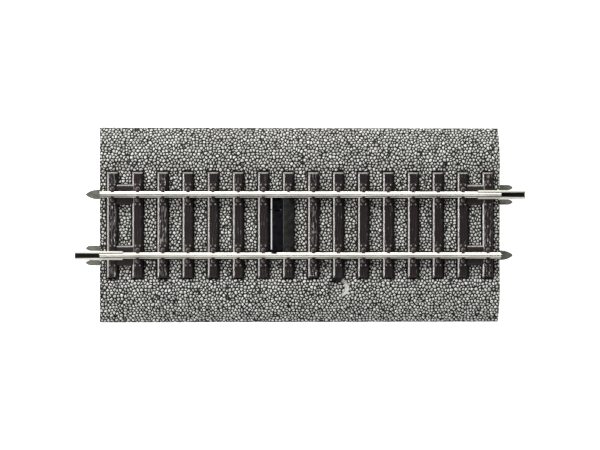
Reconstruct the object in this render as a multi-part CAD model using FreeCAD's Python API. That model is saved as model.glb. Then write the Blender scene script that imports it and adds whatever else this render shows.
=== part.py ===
import FreeCAD, Part
import math
import os

# Straight 16.5 mm gauge track section on a moulded ballast bed, with a contact lever
# that a wheel flange presses down.  Millimetres.
# X runs along the track, Y across it, Z up.  The origin is the middle of the bed's underside.

# ---- overall sizes ----
GAUGE = 16.5                # clear width between the inner faces of the rail heads
TRACK_LENGTH = 115.0        # bed and rails
BED_WIDTH = 56.0

# ---- heights above the table ----
RIM_HEIGHT = 1.3            # upright edge at the foot of the slope
SHOULDER_HEIGHT = 6.1       # ballast outside the sleeper ends
CRIB_HEIGHT = 5.5           # ballast between the sleepers
SLEEPER_TOP = 6.9
CEILING = 3.4               # inner top of the hollow under the bed

# ---- ballast bed ----
BED_WALL = 1.2
RIB_THICKNESS = 1.2
RIB_AFTER_SLEEPER = (2, 4, 10, 12, 14)
SLOPE_BULGE = 1.0           # how far the slope stands out from a straight line
SHOULDER_MARGIN = 2.75      # flat ballast from sleeper end to crest
SHOULDER_DROP = 2.0         # gentle fall from the shoulder to the crib ballast
WIRE_NOTCH_WIDTH = 3.0
WIRE_NOTCH_HEIGHT = 0.9

# ---- round blind recess in the front shoulder ----
RECESS_SLEEPER = 10         # it lies in line with this sleeper
RECESS_FROM_END = 2.85      # sleeper end to recess centre
RECESS_RADIUS = 3.25
RECESS_FLOOR_RADIUS = 2.0
RECESS_DEPTH = 1.3

# ---- sleepers ----
SLEEPER_COUNT = 16
SLEEPER_WIDTH = 3.05
SLEEPER_LENGTH = 30.3
SLEEPER_THICKNESS = 2.3
WEB_BOTTOM = 4.9            # webs under the rails tie the sleepers into one grid
WEB_TOP = 5.9
WEB_WIDTH = 2.5
END_BLOCK_WIDTH = 5.8
END_BLOCK_TOP = 6.85
PLATE_THICKNESS = 0.3       # tie plate between sleeper and rail foot
PLATE_REACH = 3.3           # from the rail's centre line
PLATE_WIDTH = 2.0
CLIP_WIDTH = 0.9
CLIP_HEIGHT = 0.55
CLIP_REACH = 0.6            # outwards from the rail foot
CLIP_LIP = 0.14             # over the rail foot
BOSS_RADIUS = 0.6           # round root of a clip
BOLT_RADIUS = 0.24
BOLT_HEIGHT = 0.25
BOLT_SPACING = 1.26         # two bolts on each side of a rail
BOLT_FROM_RAIL = 2.8

# ---- rails ----
RAIL_HEIGHT = 2.1
HEAD_WIDTH = 0.95
HEAD_HEIGHT = 0.7
HEAD_CORNER = 0.2
FOOT_WIDTH = 1.75
FOOT_EDGE = 0.25
FOOT_RISE = 0.2             # from foot edge to web
WEB_THICKNESS = 0.5

# ---- rail joiners ----
JOINER_LENGTH = 13.6
JOINER_REACH = 7.1          # beyond the bed's end
JOINER_SHEET = 0.25
JOINER_SIDE_GAP = 0.125     # rail foot to the folded side
JOINER_SLOT = 0.76
JOINER_CORNER = 0.2

# ---- tongues that lock neighbouring beds ----
TONGUE_BOTTOM = 2.4
TONGUE_TOP = 4.1
ARROW_LENGTH = 4.0
ARROW_WIDTH = 2.75
ARROW_STRAIGHT = 0.6        # parallel stretch before the point
POINT_CURVE = ((0.3, 0.94), (0.6, 0.72), (0.85, 0.4), (0.97, 0.16))  # shares of a point's length and half width
SIDE_TONGUE_LENGTH = 4.0
SIDE_TONGUE_ROOT = 1.55
SIDE_TONGUE_OUTER = 2.85    # rail centre to a side tongue's outer edge
SIDE_TONGUE_POINT = 1.5
TONGUE_ROOT_DEPTH = 1.0     # how far a tongue's root runs into the end wall

# ---- contact unit ----
LEVER_SLEEPER = 8           # the unit takes the place of this sleeper's middle
LEVER_WIDTH = 3.5
LEVER_THICKNESS = 1.8
LEVER_EDGE = 0.25
NOSE_LENGTH = 1.9
NOSE_TOP_LENGTH = 1.3
NOSE_TOP = 8.9
NOSE_UNDERCUT = 8.45
NOSE_ROOT = 0.65
PIVOT_FROM_END = 1.65       # pivot to the lever's back end
PIVOT_HEIGHT = 5.4
AXLE_RADIUS = 0.4
TAIL_RADIUS = 0.95
CHEEK_THICKNESS = 0.6
CHEEK_LENGTH = 3.0
HOUSING_WALL = 0.8
HOUSING_MARGIN = 2.9        # base beyond the window, along the track
HOUSING_OVERLAP = 1.4       # base beyond the window, across the track
HOUSING_BOTTOM = 0.5
HOUSING_ROOF = 0.8
WELL_FLOOR = 4.2            # top of the housing under the lever
WELL_WALL = 0.35
COVER_SHEET = 0.3
COVER_RIM = 0.6
EAR_LENGTH = 5.4
EAR_WIDTH = 4.4
EAR_THICKNESS = 1.2
SCREW_RADIUS = 0.6
SCREW_HEAD_RADIUS = 1.2
SCREW_HEAD_HEIGHT = 0.7
SCREW_DEPTH = 1.5           # into the bed
SCREW_FROM_EAR_END = 1.8
SCREW_SLOT = 0.3

# ---- contact leaves ----
LEAF_SHEET = 0.15
LEAF_WIDTH = 2.2
LEAF_PIVOT_Y = 3.0
LEAF_ROOT = 0.4
LEAF_TIP_Y = -5.8
LEAF_HEIGHT = 4.505         # middle of the moving leaf
PEG_Y = -4.5
PEG_SIZE = 0.7
CONTACT_Y = -5.2
CONTACT_RADIUS = 0.5
CONTACT_HEIGHT = 0.3
CONTACT_GAP = 0.7
FIXED_LEAF_TIP_Y = -4.2
FIXED_LEAF_LEG_Y = -6.9
TAG_HEIGHT = 1.72
TAG_OUT = 1.7               # tag beyond the housing's end wall
TAG_HOLE_RADIUS = 0.4
TERMINAL_PLATE = 0.9

# ---- clearances ----
BED_FIT = 0.1               # beside sleepers, webs, blocks and the housing neck
RAIL_FIT = 0.03             # clip over rail foot, joiner under rail foot
JOINER_FIT = 0.05           # joiner lip over rail foot
SOCKET_FIT = 0.15
AXLE_FIT = 0.03             # radial, axle in lever
LEVER_SIDE_GAP = 0.05
LEVER_WELL_GAP = 0.2
LEVER_FOOT_GAP = 0.2        # lever to rail foot
NOSE_HEAD_GAP = 0.13
TAIL_GAP = 0.1
PEG_GAP = 0.02
LEAF_FIT = 0.05
SCREW_FIT = 0.15
THREAD_FIT = 0.02
CUT = 1.0                   # how far a cutting tool passes beyond its face

# ---- values worked out from the sizes above ----
HALF_LENGTH = TRACK_LENGTH / 2
HALF_BED = BED_WIDTH / 2
HALF_SLEEPER = SLEEPER_LENGTH / 2
CREST = HALF_SLEEPER + SHOULDER_MARGIN
PITCH = TRACK_LENGTH / SLEEPER_COUNT
RAIL_Y = (GAUGE + HEAD_WIDTH) / 2
RAIL_BOTTOM = SLEEPER_TOP + PLATE_THICKNESS
HALF_FOOT = FOOT_WIDTH / 2
FOOT_INNER = RAIL_Y - HALF_FOOT
BOSS_FROM_RAIL = HALF_FOOT + CLIP_REACH + 0.1
SLEEPER_BOTTOM = SLEEPER_TOP - SLEEPER_THICKNESS
JOINER_WIDTH = FOOT_WIDTH + 2 * (JOINER_SIDE_GAP + JOINER_SHEET)
JOINER_BOTTOM = RAIL_BOTTOM - RAIL_FIT - JOINER_SHEET
WINDOW_HALF = FOOT_INNER - BED_FIT / 2
SIDES = (-1, 1)


def sleeper_x(number):
    """Centre of a sleeper, counted from 1 at the -X end."""
    return -HALF_LENGTH + PITCH * (number - 0.5)


HOUSING_LEFT_OF_SLEEPER = sleeper_x(LEVER_SLEEPER) - SLEEPER_WIDTH / 2
HOUSING_RIGHT = sleeper_x(LEVER_SLEEPER) + SLEEPER_WIDTH / 2
LEVER_RIGHT = HOUSING_LEFT_OF_SLEEPER - LEVER_SIDE_GAP
LEVER_LEFT = LEVER_RIGHT - LEVER_WIDTH
WINDOW_LEFT = LEVER_LEFT - LEVER_WELL_GAP
WINDOW_RIGHT = HOUSING_RIGHT + BED_FIT
HOUSING_LEFT = WINDOW_LEFT + BED_FIT
HOUSING_HALF = WINDOW_HALF - BED_FIT
LEVER_MID = (LEVER_LEFT + LEVER_RIGHT) / 2
LEVER_BOTTOM = SLEEPER_TOP - LEVER_THICKNESS
LEVER_FRONT = -(FOOT_INNER - LEVER_FOOT_GAP)
LEVER_BACK = HOUSING_HALF - LEVER_SIDE_GAP
PIVOT_Y = LEVER_BACK - PIVOT_FROM_END
BASE_LEFT = WINDOW_LEFT - HOUSING_MARGIN
BASE_RIGHT = WINDOW_RIGHT + HOUSING_MARGIN
BASE_HALF = WINDOW_HALF + HOUSING_OVERLAP
BASE_ROOF = CEILING - HOUSING_ROOF
EAR_X = sleeper_x(LEVER_SLEEPER) - PITCH / 2
SCREW_Y = BASE_HALF + EAR_LENGTH - SCREW_FROM_EAR_END
TAG_END = BASE_HALF + TAG_OUT
LEAF_TOP = LEAF_HEIGHT + LEAF_SHEET / 2
LEAF_BOTTOM = LEAF_HEIGHT - LEAF_SHEET / 2
FIXED_LEAF_TOP = LEAF_BOTTOM - 2 * CONTACT_HEIGHT - CONTACT_GAP
LEAF_LEFT = LEVER_MID - LEAF_WIDTH / 2
LEAF_RIGHT = LEVER_MID + LEAF_WIDTH / 2
POCKET_LEFT = LEAF_LEFT - WELL_WALL
POCKET_RIGHT = LEAF_RIGHT + WELL_WALL
TERMINAL_BACK = LEAF_PIVOT_Y + TERMINAL_PLATE


def box(x0, x1, y0, y1, z0, z1):
    """Box between two corners."""
    return Part.makeBox(x1 - x0, y1 - y0, z1 - z0, FreeCAD.Vector(x0, y0, z0))


def vectors(points, plane, at):
    """Points of an outline as vectors: plane "yz" stands at x = at, plane "xy" at z = at."""
    if plane == "yz":
        return [FreeCAD.Vector(at, a, b) for a, b in points]
    return [FreeCAD.Vector(a, b, at) for a, b in points]


def prism_x(points, x0, x1):
    """Outline of (y, z) points, drawn out along X."""
    corners = vectors(points + points[:1], "yz", x0)
    return Part.Face(Part.makePolygon(corners)).extrude(FreeCAD.Vector(x1 - x0, 0, 0))


def prism_z(points, z0, z1):
    """Outline of (x, y) points, drawn out along Z."""
    corners = vectors(points + points[:1], "xy", z0)
    return Part.Face(Part.makePolygon(corners)).extrude(FreeCAD.Vector(0, 0, z1 - z0))


def rod_x(radius, x0, x1, y, z):
    """Round bar along X."""
    return Part.makeCylinder(radius, x1 - x0, FreeCAD.Vector(x0, y, z), FreeCAD.Vector(1, 0, 0))


def rod_z(radius, x, y, z0, z1):
    """Round bar along Z."""
    return Part.makeCylinder(radius, z1 - z0, FreeCAD.Vector(x, y, z0))


def half_turn(shape):
    """The same shape turned 180 degrees about the vertical axis through the origin."""
    turned = shape.copy()
    turned.rotate(FreeCAD.Vector(0, 0, 0), FreeCAD.Vector(0, 0, 1), 180)
    return turned


def mirrored_y(points):
    """An outline of (y, z) points for +Y, closed with its mirror image."""
    return points + [(-y, z) for y, z in reversed(points)]


def bulged(start, end, bulge):
    """Arc from start to end whose middle stands out from the straight line by bulge."""
    mid_y = (start[0] + end[0]) / 2
    mid_z = (start[1] + end[1]) / 2
    length = math.hypot(end[0] - start[0], end[1] - start[1])
    out_y = (end[1] - start[1]) / length
    out_z = -(end[0] - start[0]) / length
    middle = (mid_y + abs(bulge) * abs(out_y) * (1 if mid_y > 0 else -1), mid_z + bulge * abs(out_z))
    return Part.Arc(*vectors([start, middle, end], "yz", -HALF_LENGTH)).toShape()


def bank(foot_z, rim, crest, top, x0, x1):
    """Bed section drawn out along X: upright rims, bulged slopes, and the top from the crest inwards."""
    left_rim = (-rim[0], rim[1])
    left_crest = (-crest[0], crest[1])
    top = mirrored_y([crest] + top)
    edges = [
        Part.makePolygon(vectors([(rim[0], foot_z), rim], "yz", -HALF_LENGTH)),
        bulged(rim, crest, SLOPE_BULGE),
        Part.makePolygon(vectors(top, "yz", -HALF_LENGTH)),
        bulged(left_crest, left_rim, SLOPE_BULGE),
        Part.makePolygon(vectors([left_rim, (-rim[0], foot_z), (rim[0], foot_z)], "yz", -HALF_LENGTH)),
    ]
    pieces = []
    for edge in edges:
        pieces.extend(edge.Edges)
    face = Part.Face(Part.Wire(Part.__sortEdges__(pieces)))
    solid = face.extrude(FreeCAD.Vector(x1 - x0, 0, 0))
    solid.translate(FreeCAD.Vector(x0 + HALF_LENGTH, 0, 0))
    return solid


def tongue(middle, half, length, point):
    """Flat tongue at the -X end with a rounded point, as long as given from the end wall."""
    root = -HALF_LENGTH + TONGUE_ROOT_DEPTH
    shoulder = -HALF_LENGTH - length + point
    edge = [(root, half), (shoulder, half)]
    edge += [(shoulder - a * point, b * half) for a, b in POINT_CURVE]
    outline = [(x, middle + y) for x, y in edge]
    outline.append((shoulder - point, middle))
    outline += [(x, middle - y) for x, y in reversed(edge)]
    return prism_z(outline, TONGUE_BOTTOM, TONGUE_TOP)


def arrow_tongue():
    """Pointed tongue under a plain rail end, at the -X end on the +Y rail."""
    return tongue(RAIL_Y, ARROW_WIDTH / 2, ARROW_LENGTH, ARROW_LENGTH - ARROW_STRAIGHT)


def side_tongues():
    """Pair of tongues either side of a joiner, at the -X end on the -Y rail."""
    half = SIDE_TONGUE_ROOT / 2
    away = SIDE_TONGUE_OUTER - half
    return [tongue(-RAIL_Y + side * away, half, SIDE_TONGUE_LENGTH, SIDE_TONGUE_POINT) for side in SIDES]


def sockets():
    """Pockets at the -X end that take a neighbour's tongues."""
    low = TONGUE_BOTTOM - SOCKET_FIT
    high = TONGUE_TOP + SOCKET_FIT
    start = -HALF_LENGTH - CUT
    half = ARROW_WIDTH / 2 + SOCKET_FIT
    arrow_end = -HALF_LENGTH + ARROW_LENGTH + SOCKET_FIT
    pockets = [box(start, arrow_end, -RAIL_Y - half, -RAIL_Y + half, low, high)]
    side_end = -HALF_LENGTH + SIDE_TONGUE_LENGTH + SOCKET_FIT
    for side in SIDES:
        outer = RAIL_Y + side * (SIDE_TONGUE_OUTER + SOCKET_FIT)
        inner = RAIL_Y + side * (SIDE_TONGUE_OUTER - SIDE_TONGUE_ROOT - SOCKET_FIT)
        y0 = min(outer, inner)
        y1 = max(outer, inner)
        pockets.append(box(start, side_end, y0, y1, low, high))
    return pockets


def ballast_bed():
    """Hollow moulded bed: banks, sleeper grooves, lever window, tongues and ribs."""
    rim = (HALF_BED, RIM_HEIGHT)
    crest = (CREST, SHOULDER_HEIGHT)
    crib_edge = HALF_SLEEPER + BED_FIT
    shoulder = [(crib_edge + SHOULDER_DROP, SHOULDER_HEIGHT), (crib_edge, CRIB_HEIGHT)]
    bed = bank(0, rim, crest, shoulder, -HALF_LENGTH, HALF_LENGTH)
    inner_rim = (HALF_BED - BED_WALL, RIM_HEIGHT - BED_WALL / 3)
    inner_crest = (CREST + BED_WALL / 2, CEILING)
    hollow = bank(-CUT, inner_rim, inner_crest, [], -HALF_LENGTH + BED_WALL, HALF_LENGTH - BED_WALL)
    for number in RIB_AFTER_SLEEPER:
        middle = -HALF_LENGTH + PITCH * number
        half = RIB_THICKNESS / 2
        hollow = hollow.cut(box(middle - half, middle + half, -HALF_BED, HALF_BED, -2 * CUT, CEILING + CUT))
    bed = bed.cut(hollow)

    tools = []
    for number in range(1, SLEEPER_COUNT + 1):
        half = SLEEPER_WIDTH / 2 + BED_FIT
        x = sleeper_x(number)
        tools.append(box(x - half, x + half, -crib_edge, crib_edge, SLEEPER_BOTTOM, SLEEPER_TOP + CUT))
    for side in SIDES:
        half = WEB_WIDTH / 2 + BED_FIT
        y = side * RAIL_Y
        tools.append(box(sleeper_x(1), sleeper_x(SLEEPER_COUNT), y - half, y + half, WEB_BOTTOM, SLEEPER_TOP))
        half = END_BLOCK_WIDTH / 2 + BED_FIT
        for number in (1, SLEEPER_COUNT - 1):
            tools.append(box(sleeper_x(number), sleeper_x(number + 1), y - half, y + half,
                             WEB_BOTTOM, SLEEPER_TOP))
        tools.append(rod_z(SCREW_RADIUS + THREAD_FIT, EAR_X, side * SCREW_Y,
                           CEILING - CUT, CEILING + SCREW_DEPTH + THREAD_FIT))
    tools.append(box(WINDOW_LEFT, WINDOW_RIGHT, -WINDOW_HALF, WINDOW_HALF, CEILING - CUT, SLEEPER_TOP))
    tools.append(round_recess())
    tools.append(box(EAR_X - WIRE_NOTCH_WIDTH / 2, EAR_X + WIRE_NOTCH_WIDTH / 2,
                     -HALF_BED - CUT, -HALF_BED + BED_WALL + CUT, -CUT, WIRE_NOTCH_HEIGHT))
    for pocket in sockets():
        tools.extend([pocket, half_turn(pocket)])
    bed = bed.cut(tools)

    tongues = [arrow_tongue()] + side_tongues()
    bed = bed.fuse(tongues + [half_turn(tongue) for tongue in tongues])
    return bed.removeSplitter()


def round_recess():
    """Cone-walled blind recess in the front shoulder."""
    floor = SHOULDER_HEIGHT - RECESS_DEPTH
    flare = (RECESS_RADIUS - RECESS_FLOOR_RADIUS) / RECESS_DEPTH
    height = RECESS_DEPTH + CUT
    centre = FreeCAD.Vector(sleeper_x(RECESS_SLEEPER), -(HALF_SLEEPER + RECESS_FROM_END), floor)
    return Part.makeCone(RECESS_FLOOR_RADIUS, RECESS_FLOOR_RADIUS + flare * height, height, centre)


def bolts(x, y):
    """Two bolt heads side by side on a tie plate."""
    top = RAIL_BOTTOM + BOLT_HEIGHT
    return [rod_z(BOLT_RADIUS, x + side * BOLT_SPACING / 2, y, RAIL_BOTTOM, top) for side in SIDES]


def chair(x, rail_y, side, start, clipped):
    """One side of a rail's seat: tie plate from start outwards, bolts, and clip where there is room."""
    half = PLATE_WIDTH / 2
    ends = (rail_y + side * start, rail_y + side * PLATE_REACH)
    pieces = [box(x - half, x + half, min(ends), max(ends), SLEEPER_TOP, RAIL_BOTTOM)]
    pieces.extend(bolts(x, rail_y + side * BOLT_FROM_RAIL))
    if clipped:
        pieces.append(clip(x, rail_y, side))
        boss_y = rail_y + side * BOSS_FROM_RAIL
        pieces.append(rod_z(BOSS_RADIUS, x, boss_y, RAIL_BOTTOM, RAIL_BOTTOM + CLIP_HEIGHT))
    return pieces


def clip(x, y, side):
    """Hook that lies over one edge of the rail foot."""
    edge = HALF_FOOT + RAIL_FIT
    lip_z = RAIL_BOTTOM + FOOT_EDGE + RAIL_FIT
    rise = FOOT_RISE / (HALF_FOOT - WEB_THICKNESS / 2)
    lip_in = HALF_FOOT - CLIP_LIP
    top = RAIL_BOTTOM + CLIP_HEIGHT
    outline = [(edge, RAIL_BOTTOM), (edge, lip_z), (lip_in, lip_z + rise * (CLIP_LIP + RAIL_FIT)),
               (lip_in + 0.1, top), (edge + CLIP_REACH / 2, top), (edge + CLIP_REACH, RAIL_BOTTOM)]
    turned = [(y + side * a, b) for a, b in outline]
    return prism_x(turned, x - CLIP_WIDTH / 2, x + CLIP_WIDTH / 2)


def sleeper_grid():
    """All sleepers with their chairs, joined by webs under the rails and end blocks."""
    solids = []
    for number in range(1, SLEEPER_COUNT + 1):
        x = sleeper_x(number)
        half = SLEEPER_WIDTH / 2
        sleeper = box(x - half, x + half, -HALF_SLEEPER, HALF_SLEEPER, SLEEPER_BOTTOM, SLEEPER_TOP)
        if number == LEVER_SLEEPER:
            sleeper = sleeper.cut(box(x - PITCH, x + PITCH, -WINDOW_HALF, WINDOW_HALF, 0, SLEEPER_TOP + CUT))
        solids.append(sleeper)
        for rail_side in SIDES:
            under_joiner = (number == 1 and rail_side < 0) or (number == SLEEPER_COUNT and rail_side > 0)
            start = JOINER_WIDTH / 2 + BED_FIT if under_joiner else 0
            for side in SIDES:
                if number == LEVER_SLEEPER and side != rail_side:
                    continue
                solids.extend(chair(x, rail_side * RAIL_Y, side, start, not under_joiner))
    for side in SIDES:
        y = side * RAIL_Y
        half = WEB_WIDTH / 2
        web = box(sleeper_x(1), sleeper_x(SLEEPER_COUNT), y - half, y + half, WEB_BOTTOM, WEB_TOP)
        solids.append(web.cut(box(WINDOW_LEFT - BED_FIT, WINDOW_RIGHT + BED_FIT, -FOOT_INNER, FOOT_INNER,
                                  WEB_BOTTOM - CUT, WEB_TOP + CUT)))
        for number in (1, SLEEPER_COUNT - 1):
            solids.append(box(sleeper_x(number), sleeper_x(number + 1), y - END_BLOCK_WIDTH / 2,
                              y + END_BLOCK_WIDTH / 2, WEB_BOTTOM, END_BLOCK_TOP))
    return solids[0].fuse(solids[1:]).removeSplitter()


def rail(side):
    """Flat-bottomed rail with a rounded head, over the full length."""
    half_head = HEAD_WIDTH / 2
    half_web = WEB_THICKNESS / 2
    top = RAIL_HEIGHT
    under = top - HEAD_HEIGHT
    right = [(HALF_FOOT, 0), (HALF_FOOT, FOOT_EDGE), (half_web, FOOT_EDGE + FOOT_RISE),
             (half_web, under - FOOT_RISE / 2), (half_head, under), (half_head, top)]
    outline = [(side * RAIL_Y + a, RAIL_BOTTOM + b) for a, b in mirrored_y(right)]
    bar = prism_x(outline, -HALF_LENGTH, HALF_LENGTH)
    corners = []
    for edge in bar.Edges:
        box_z = edge.BoundBox
        along = box_z.XLength > TRACK_LENGTH / 2
        if along and box_z.ZMin > RAIL_BOTTOM + top - HEAD_CORNER:
            corners.append(edge)
    return bar.makeFillet(HEAD_CORNER, corners)


def joiner():
    """Folded sheet shoe at the -X end of the front rail."""
    half = JOINER_WIDTH / 2
    inner = half - JOINER_SHEET
    slot = JOINER_SLOT / 2
    base = JOINER_BOTTOM
    lip = RAIL_BOTTOM + FOOT_EDGE + FOOT_RISE + JOINER_FIT
    right = [(half, base), (half, lip + JOINER_SHEET), (slot, lip + JOINER_SHEET), (slot, lip),
             (inner, lip), (inner, base + JOINER_SHEET)]
    outline = [(-RAIL_Y + a, b) for a, b in mirrored_y(right)]
    x0 = -HALF_LENGTH - JOINER_REACH
    shoe = prism_x(outline, x0, x0 + JOINER_LENGTH)
    corners = []
    for edge in shoe.Edges:
        span = edge.BoundBox
        at_side = abs(abs(span.YMin + RAIL_Y) - half) < 0.001
        if span.XLength > JOINER_LENGTH / 2 and at_side:
            corners.append(edge)
    return shoe.makeFillet(JOINER_CORNER, corners)


def switch_housing():
    """Black housing: base in the hollow, neck through the window, and the middle of one sleeper."""
    body = box(BASE_LEFT, BASE_RIGHT, -BASE_HALF, BASE_HALF, HOUSING_BOTTOM, CEILING)
    neck = box(HOUSING_LEFT, HOUSING_RIGHT, -HOUSING_HALF, HOUSING_HALF, CEILING - CUT, WELL_FLOOR)
    crown = box(HOUSING_LEFT_OF_SLEEPER, HOUSING_RIGHT, -HOUSING_HALF, HOUSING_HALF, CEILING, SLEEPER_TOP)
    parts = [neck, crown]
    cheek_front = PIVOT_Y - CHEEK_LENGTH / 2
    for x0 in (LEVER_LEFT, LEVER_RIGHT - CHEEK_THICKNESS):
        parts.append(box(x0, x0 + CHEEK_THICKNESS, cheek_front, HOUSING_HALF, CEILING, SLEEPER_TOP))
    parts.append(box(LEVER_RIGHT - CHEEK_THICKNESS, HOUSING_LEFT_OF_SLEEPER + CHEEK_THICKNESS,
                     cheek_front, HOUSING_HALF, CEILING, SLEEPER_TOP))
    for side in SIDES:
        ear = box(EAR_X - EAR_WIDTH / 2, EAR_X + EAR_WIDTH / 2,
                  side * BASE_HALF, side * BASE_HALF + EAR_LENGTH, CEILING - EAR_THICKNESS, CEILING)
        if side < 0:
            ear.translate(FreeCAD.Vector(0, -EAR_LENGTH, 0))
        parts.append(ear)
        x = sleeper_x(LEVER_SLEEPER)
        y0 = min(side * (RAIL_Y - PLATE_REACH), side * HOUSING_HALF)
        y1 = max(side * (RAIL_Y - PLATE_REACH), side * HOUSING_HALF)
        parts.append(box(x - PLATE_WIDTH / 2, x + PLATE_WIDTH / 2, y0, y1, SLEEPER_TOP, RAIL_BOTTOM))
        parts.extend(bolts(x, side * (RAIL_Y - BOLT_FROM_RAIL)))
    body = body.fuse(parts)

    wall = HOUSING_WALL
    shelf_top = FIXED_LEAF_TOP - LEAF_SHEET
    leg_gap = FIXED_LEAF_LEG_Y + LEAF_SHEET / 2 + LEAF_FIT
    pocket_front = FIXED_LEAF_LEG_Y - LEAF_SHEET / 2 - LEAF_FIT
    tag_low = TAG_HEIGHT - LEAF_SHEET / 2 - LEAF_FIT
    tag_high = TAG_HEIGHT + LEAF_SHEET / 2 + LEAF_FIT
    tools = [
        box(BASE_LEFT + wall, BASE_RIGHT - wall, -BASE_HALF + wall, BASE_HALF - wall,
            HOUSING_BOTTOM - CUT, BASE_ROOF),
        box(POCKET_LEFT, POCKET_RIGHT, pocket_front, TERMINAL_BACK, shelf_top, WELL_FLOOR + CUT),
        box(POCKET_LEFT, POCKET_RIGHT, pocket_front, leg_gap, CEILING - CUT, WELL_FLOOR),
        box(POCKET_LEFT, POCKET_RIGHT, FIXED_LEAF_TIP_Y + LEAF_FIT, TERMINAL_BACK, CEILING - CUT, WELL_FLOOR),
        box(HOUSING_LEFT_OF_SLEEPER + wall, HOUSING_RIGHT - wall, -HOUSING_HALF + wall, HOUSING_HALF - wall,
            CEILING - CUT, SLEEPER_TOP - wall),
        rod_x(AXLE_RADIUS, LEVER_LEFT - CUT, HOUSING_LEFT_OF_SLEEPER, PIVOT_Y, PIVOT_HEIGHT),
        box(LEAF_LEFT - LEAF_FIT, LEAF_RIGHT + LEAF_FIT, -BASE_HALF - CUT, BASE_HALF + CUT, tag_low, tag_high),
    ]
    tools.extend(rod_z(SCREW_RADIUS + SCREW_FIT, EAR_X, side * SCREW_Y, 0, CEILING + CUT) for side in SIDES)
    return body.cut(tools).removeSplitter()


def housing_cover():
    """Plate with an inner rim that closes the housing from below."""
    plate = box(BASE_LEFT, BASE_RIGHT, -BASE_HALF, BASE_HALF, HOUSING_BOTTOM - COVER_SHEET, HOUSING_BOTTOM)
    inset = HOUSING_WALL + LEAF_FIT
    rim_top = HOUSING_BOTTOM + COVER_RIM
    rim = box(BASE_LEFT + inset, BASE_RIGHT - inset, -BASE_HALF + inset, BASE_HALF - inset,
              HOUSING_BOTTOM, rim_top)
    inset += COVER_RIM
    core = box(BASE_LEFT + inset, BASE_RIGHT - inset, -BASE_HALF + inset, BASE_HALF - inset,
               HOUSING_BOTTOM, rim_top + CUT)
    return plate.fuse(rim.cut(core)).removeSplitter()


def housing_screws():
    """Two slotted screws, one solid each."""
    screws = []
    for side in SIDES:
        y = side * SCREW_Y
        seat = CEILING - EAR_THICKNESS
        shank = rod_z(SCREW_RADIUS, EAR_X, y, seat, CEILING + SCREW_DEPTH)
        head = rod_z(SCREW_HEAD_RADIUS, EAR_X, y, seat - SCREW_HEAD_HEIGHT, seat)
        slot = box(EAR_X - SCREW_HEAD_RADIUS, EAR_X + SCREW_HEAD_RADIUS, y - SCREW_SLOT / 2, y + SCREW_SLOT / 2,
                   seat - SCREW_HEAD_HEIGHT, seat - SCREW_HEAD_HEIGHT / 2)
        screws.append(shank.fuse(head).cut(slot).removeSplitter())
    return Part.makeCompound(screws)


def lever_nose():
    """Ramped nose beside the rail head that the wheel flange runs over."""
    middle = LEVER_LEFT + NOSE_LENGTH / 2
    outline = [(LEVER_LEFT, LEVER_BOTTOM), (LEVER_LEFT + NOSE_LENGTH, LEVER_BOTTOM),
               (LEVER_LEFT + NOSE_LENGTH, SLEEPER_TOP), (middle + NOSE_TOP_LENGTH / 2, NOSE_TOP),
               (middle - NOSE_TOP_LENGTH / 2, NOSE_TOP), (LEVER_LEFT, SLEEPER_TOP)]
    front = -(GAUGE / 2 - NOSE_HEAD_GAP)
    corners = [FreeCAD.Vector(a, front, b) for a, b in outline + outline[:1]]
    length = LEVER_FRONT + NOSE_ROOT - front
    nose = Part.Face(Part.makePolygon(corners)).extrude(FreeCAD.Vector(0, length, 0))
    under = box(LEVER_LEFT - CUT, LEVER_RIGHT, front - CUT, LEVER_FRONT, 0, NOSE_UNDERCUT)
    return nose.cut(under)


def contact_lever():
    """Rocking bar with its nose at the front rail and its pivot beside the back rail."""
    cheek_front = PIVOT_Y - CHEEK_LENGTH / 2 - TAIL_GAP
    bar = box(LEVER_LEFT, LEVER_RIGHT, LEVER_FRONT, cheek_front, LEVER_BOTTOM, SLEEPER_TOP)
    long_edges = []
    for edge in bar.Edges:
        span = edge.BoundBox
        if span.YLength > SLEEPER_WIDTH and span.ZMin > SLEEPER_TOP - LEVER_EDGE:
            long_edges.append(edge)
    bar = bar.makeFillet(LEVER_EDGE, long_edges)
    side = CHEEK_THICKNESS + TAIL_GAP
    tail_left = LEVER_LEFT + side
    tail_right = LEVER_RIGHT - side
    tail = box(tail_left, tail_right, cheek_front - LEVER_EDGE, PIVOT_Y,
               PIVOT_HEIGHT - TAIL_RADIUS, SLEEPER_TOP)
    heel = box(tail_left, tail_right, PIVOT_Y, PIVOT_Y + TAIL_RADIUS, PIVOT_HEIGHT, SLEEPER_TOP)
    knuckle = rod_x(TAIL_RADIUS, tail_left, tail_right, PIVOT_Y, PIVOT_HEIGHT)
    half = PEG_SIZE / 2
    peg = box(LEVER_MID - half, LEVER_MID + half, PEG_Y - half, PEG_Y + half, LEAF_TOP + PEG_GAP, LEVER_BOTTOM)
    lever = bar.fuse([tail, heel, knuckle, peg, lever_nose()])
    bore = rod_x(AXLE_RADIUS + AXLE_FIT, tail_left - CUT, tail_right + CUT, PIVOT_Y, PIVOT_HEIGHT)
    return lever.cut(bore).removeSplitter()


def lever_axle():
    """Steel pin held in the housing's two cheeks."""
    return rod_x(AXLE_RADIUS, LEVER_LEFT, LEVER_RIGHT, PIVOT_Y, PIVOT_HEIGHT)


def moving_leaf():
    """Springy strip under the lever's peg."""
    return box(LEAF_LEFT, LEAF_RIGHT, LEAF_TIP_Y, LEAF_PIVOT_Y + LEAF_ROOT, LEAF_BOTTOM, LEAF_TOP)


def moving_contact_point():
    """Round silver contact under the moving leaf."""
    return rod_z(CONTACT_RADIUS, LEVER_MID, CONTACT_Y, LEAF_BOTTOM - CONTACT_HEIGHT, LEAF_BOTTOM)


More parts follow.
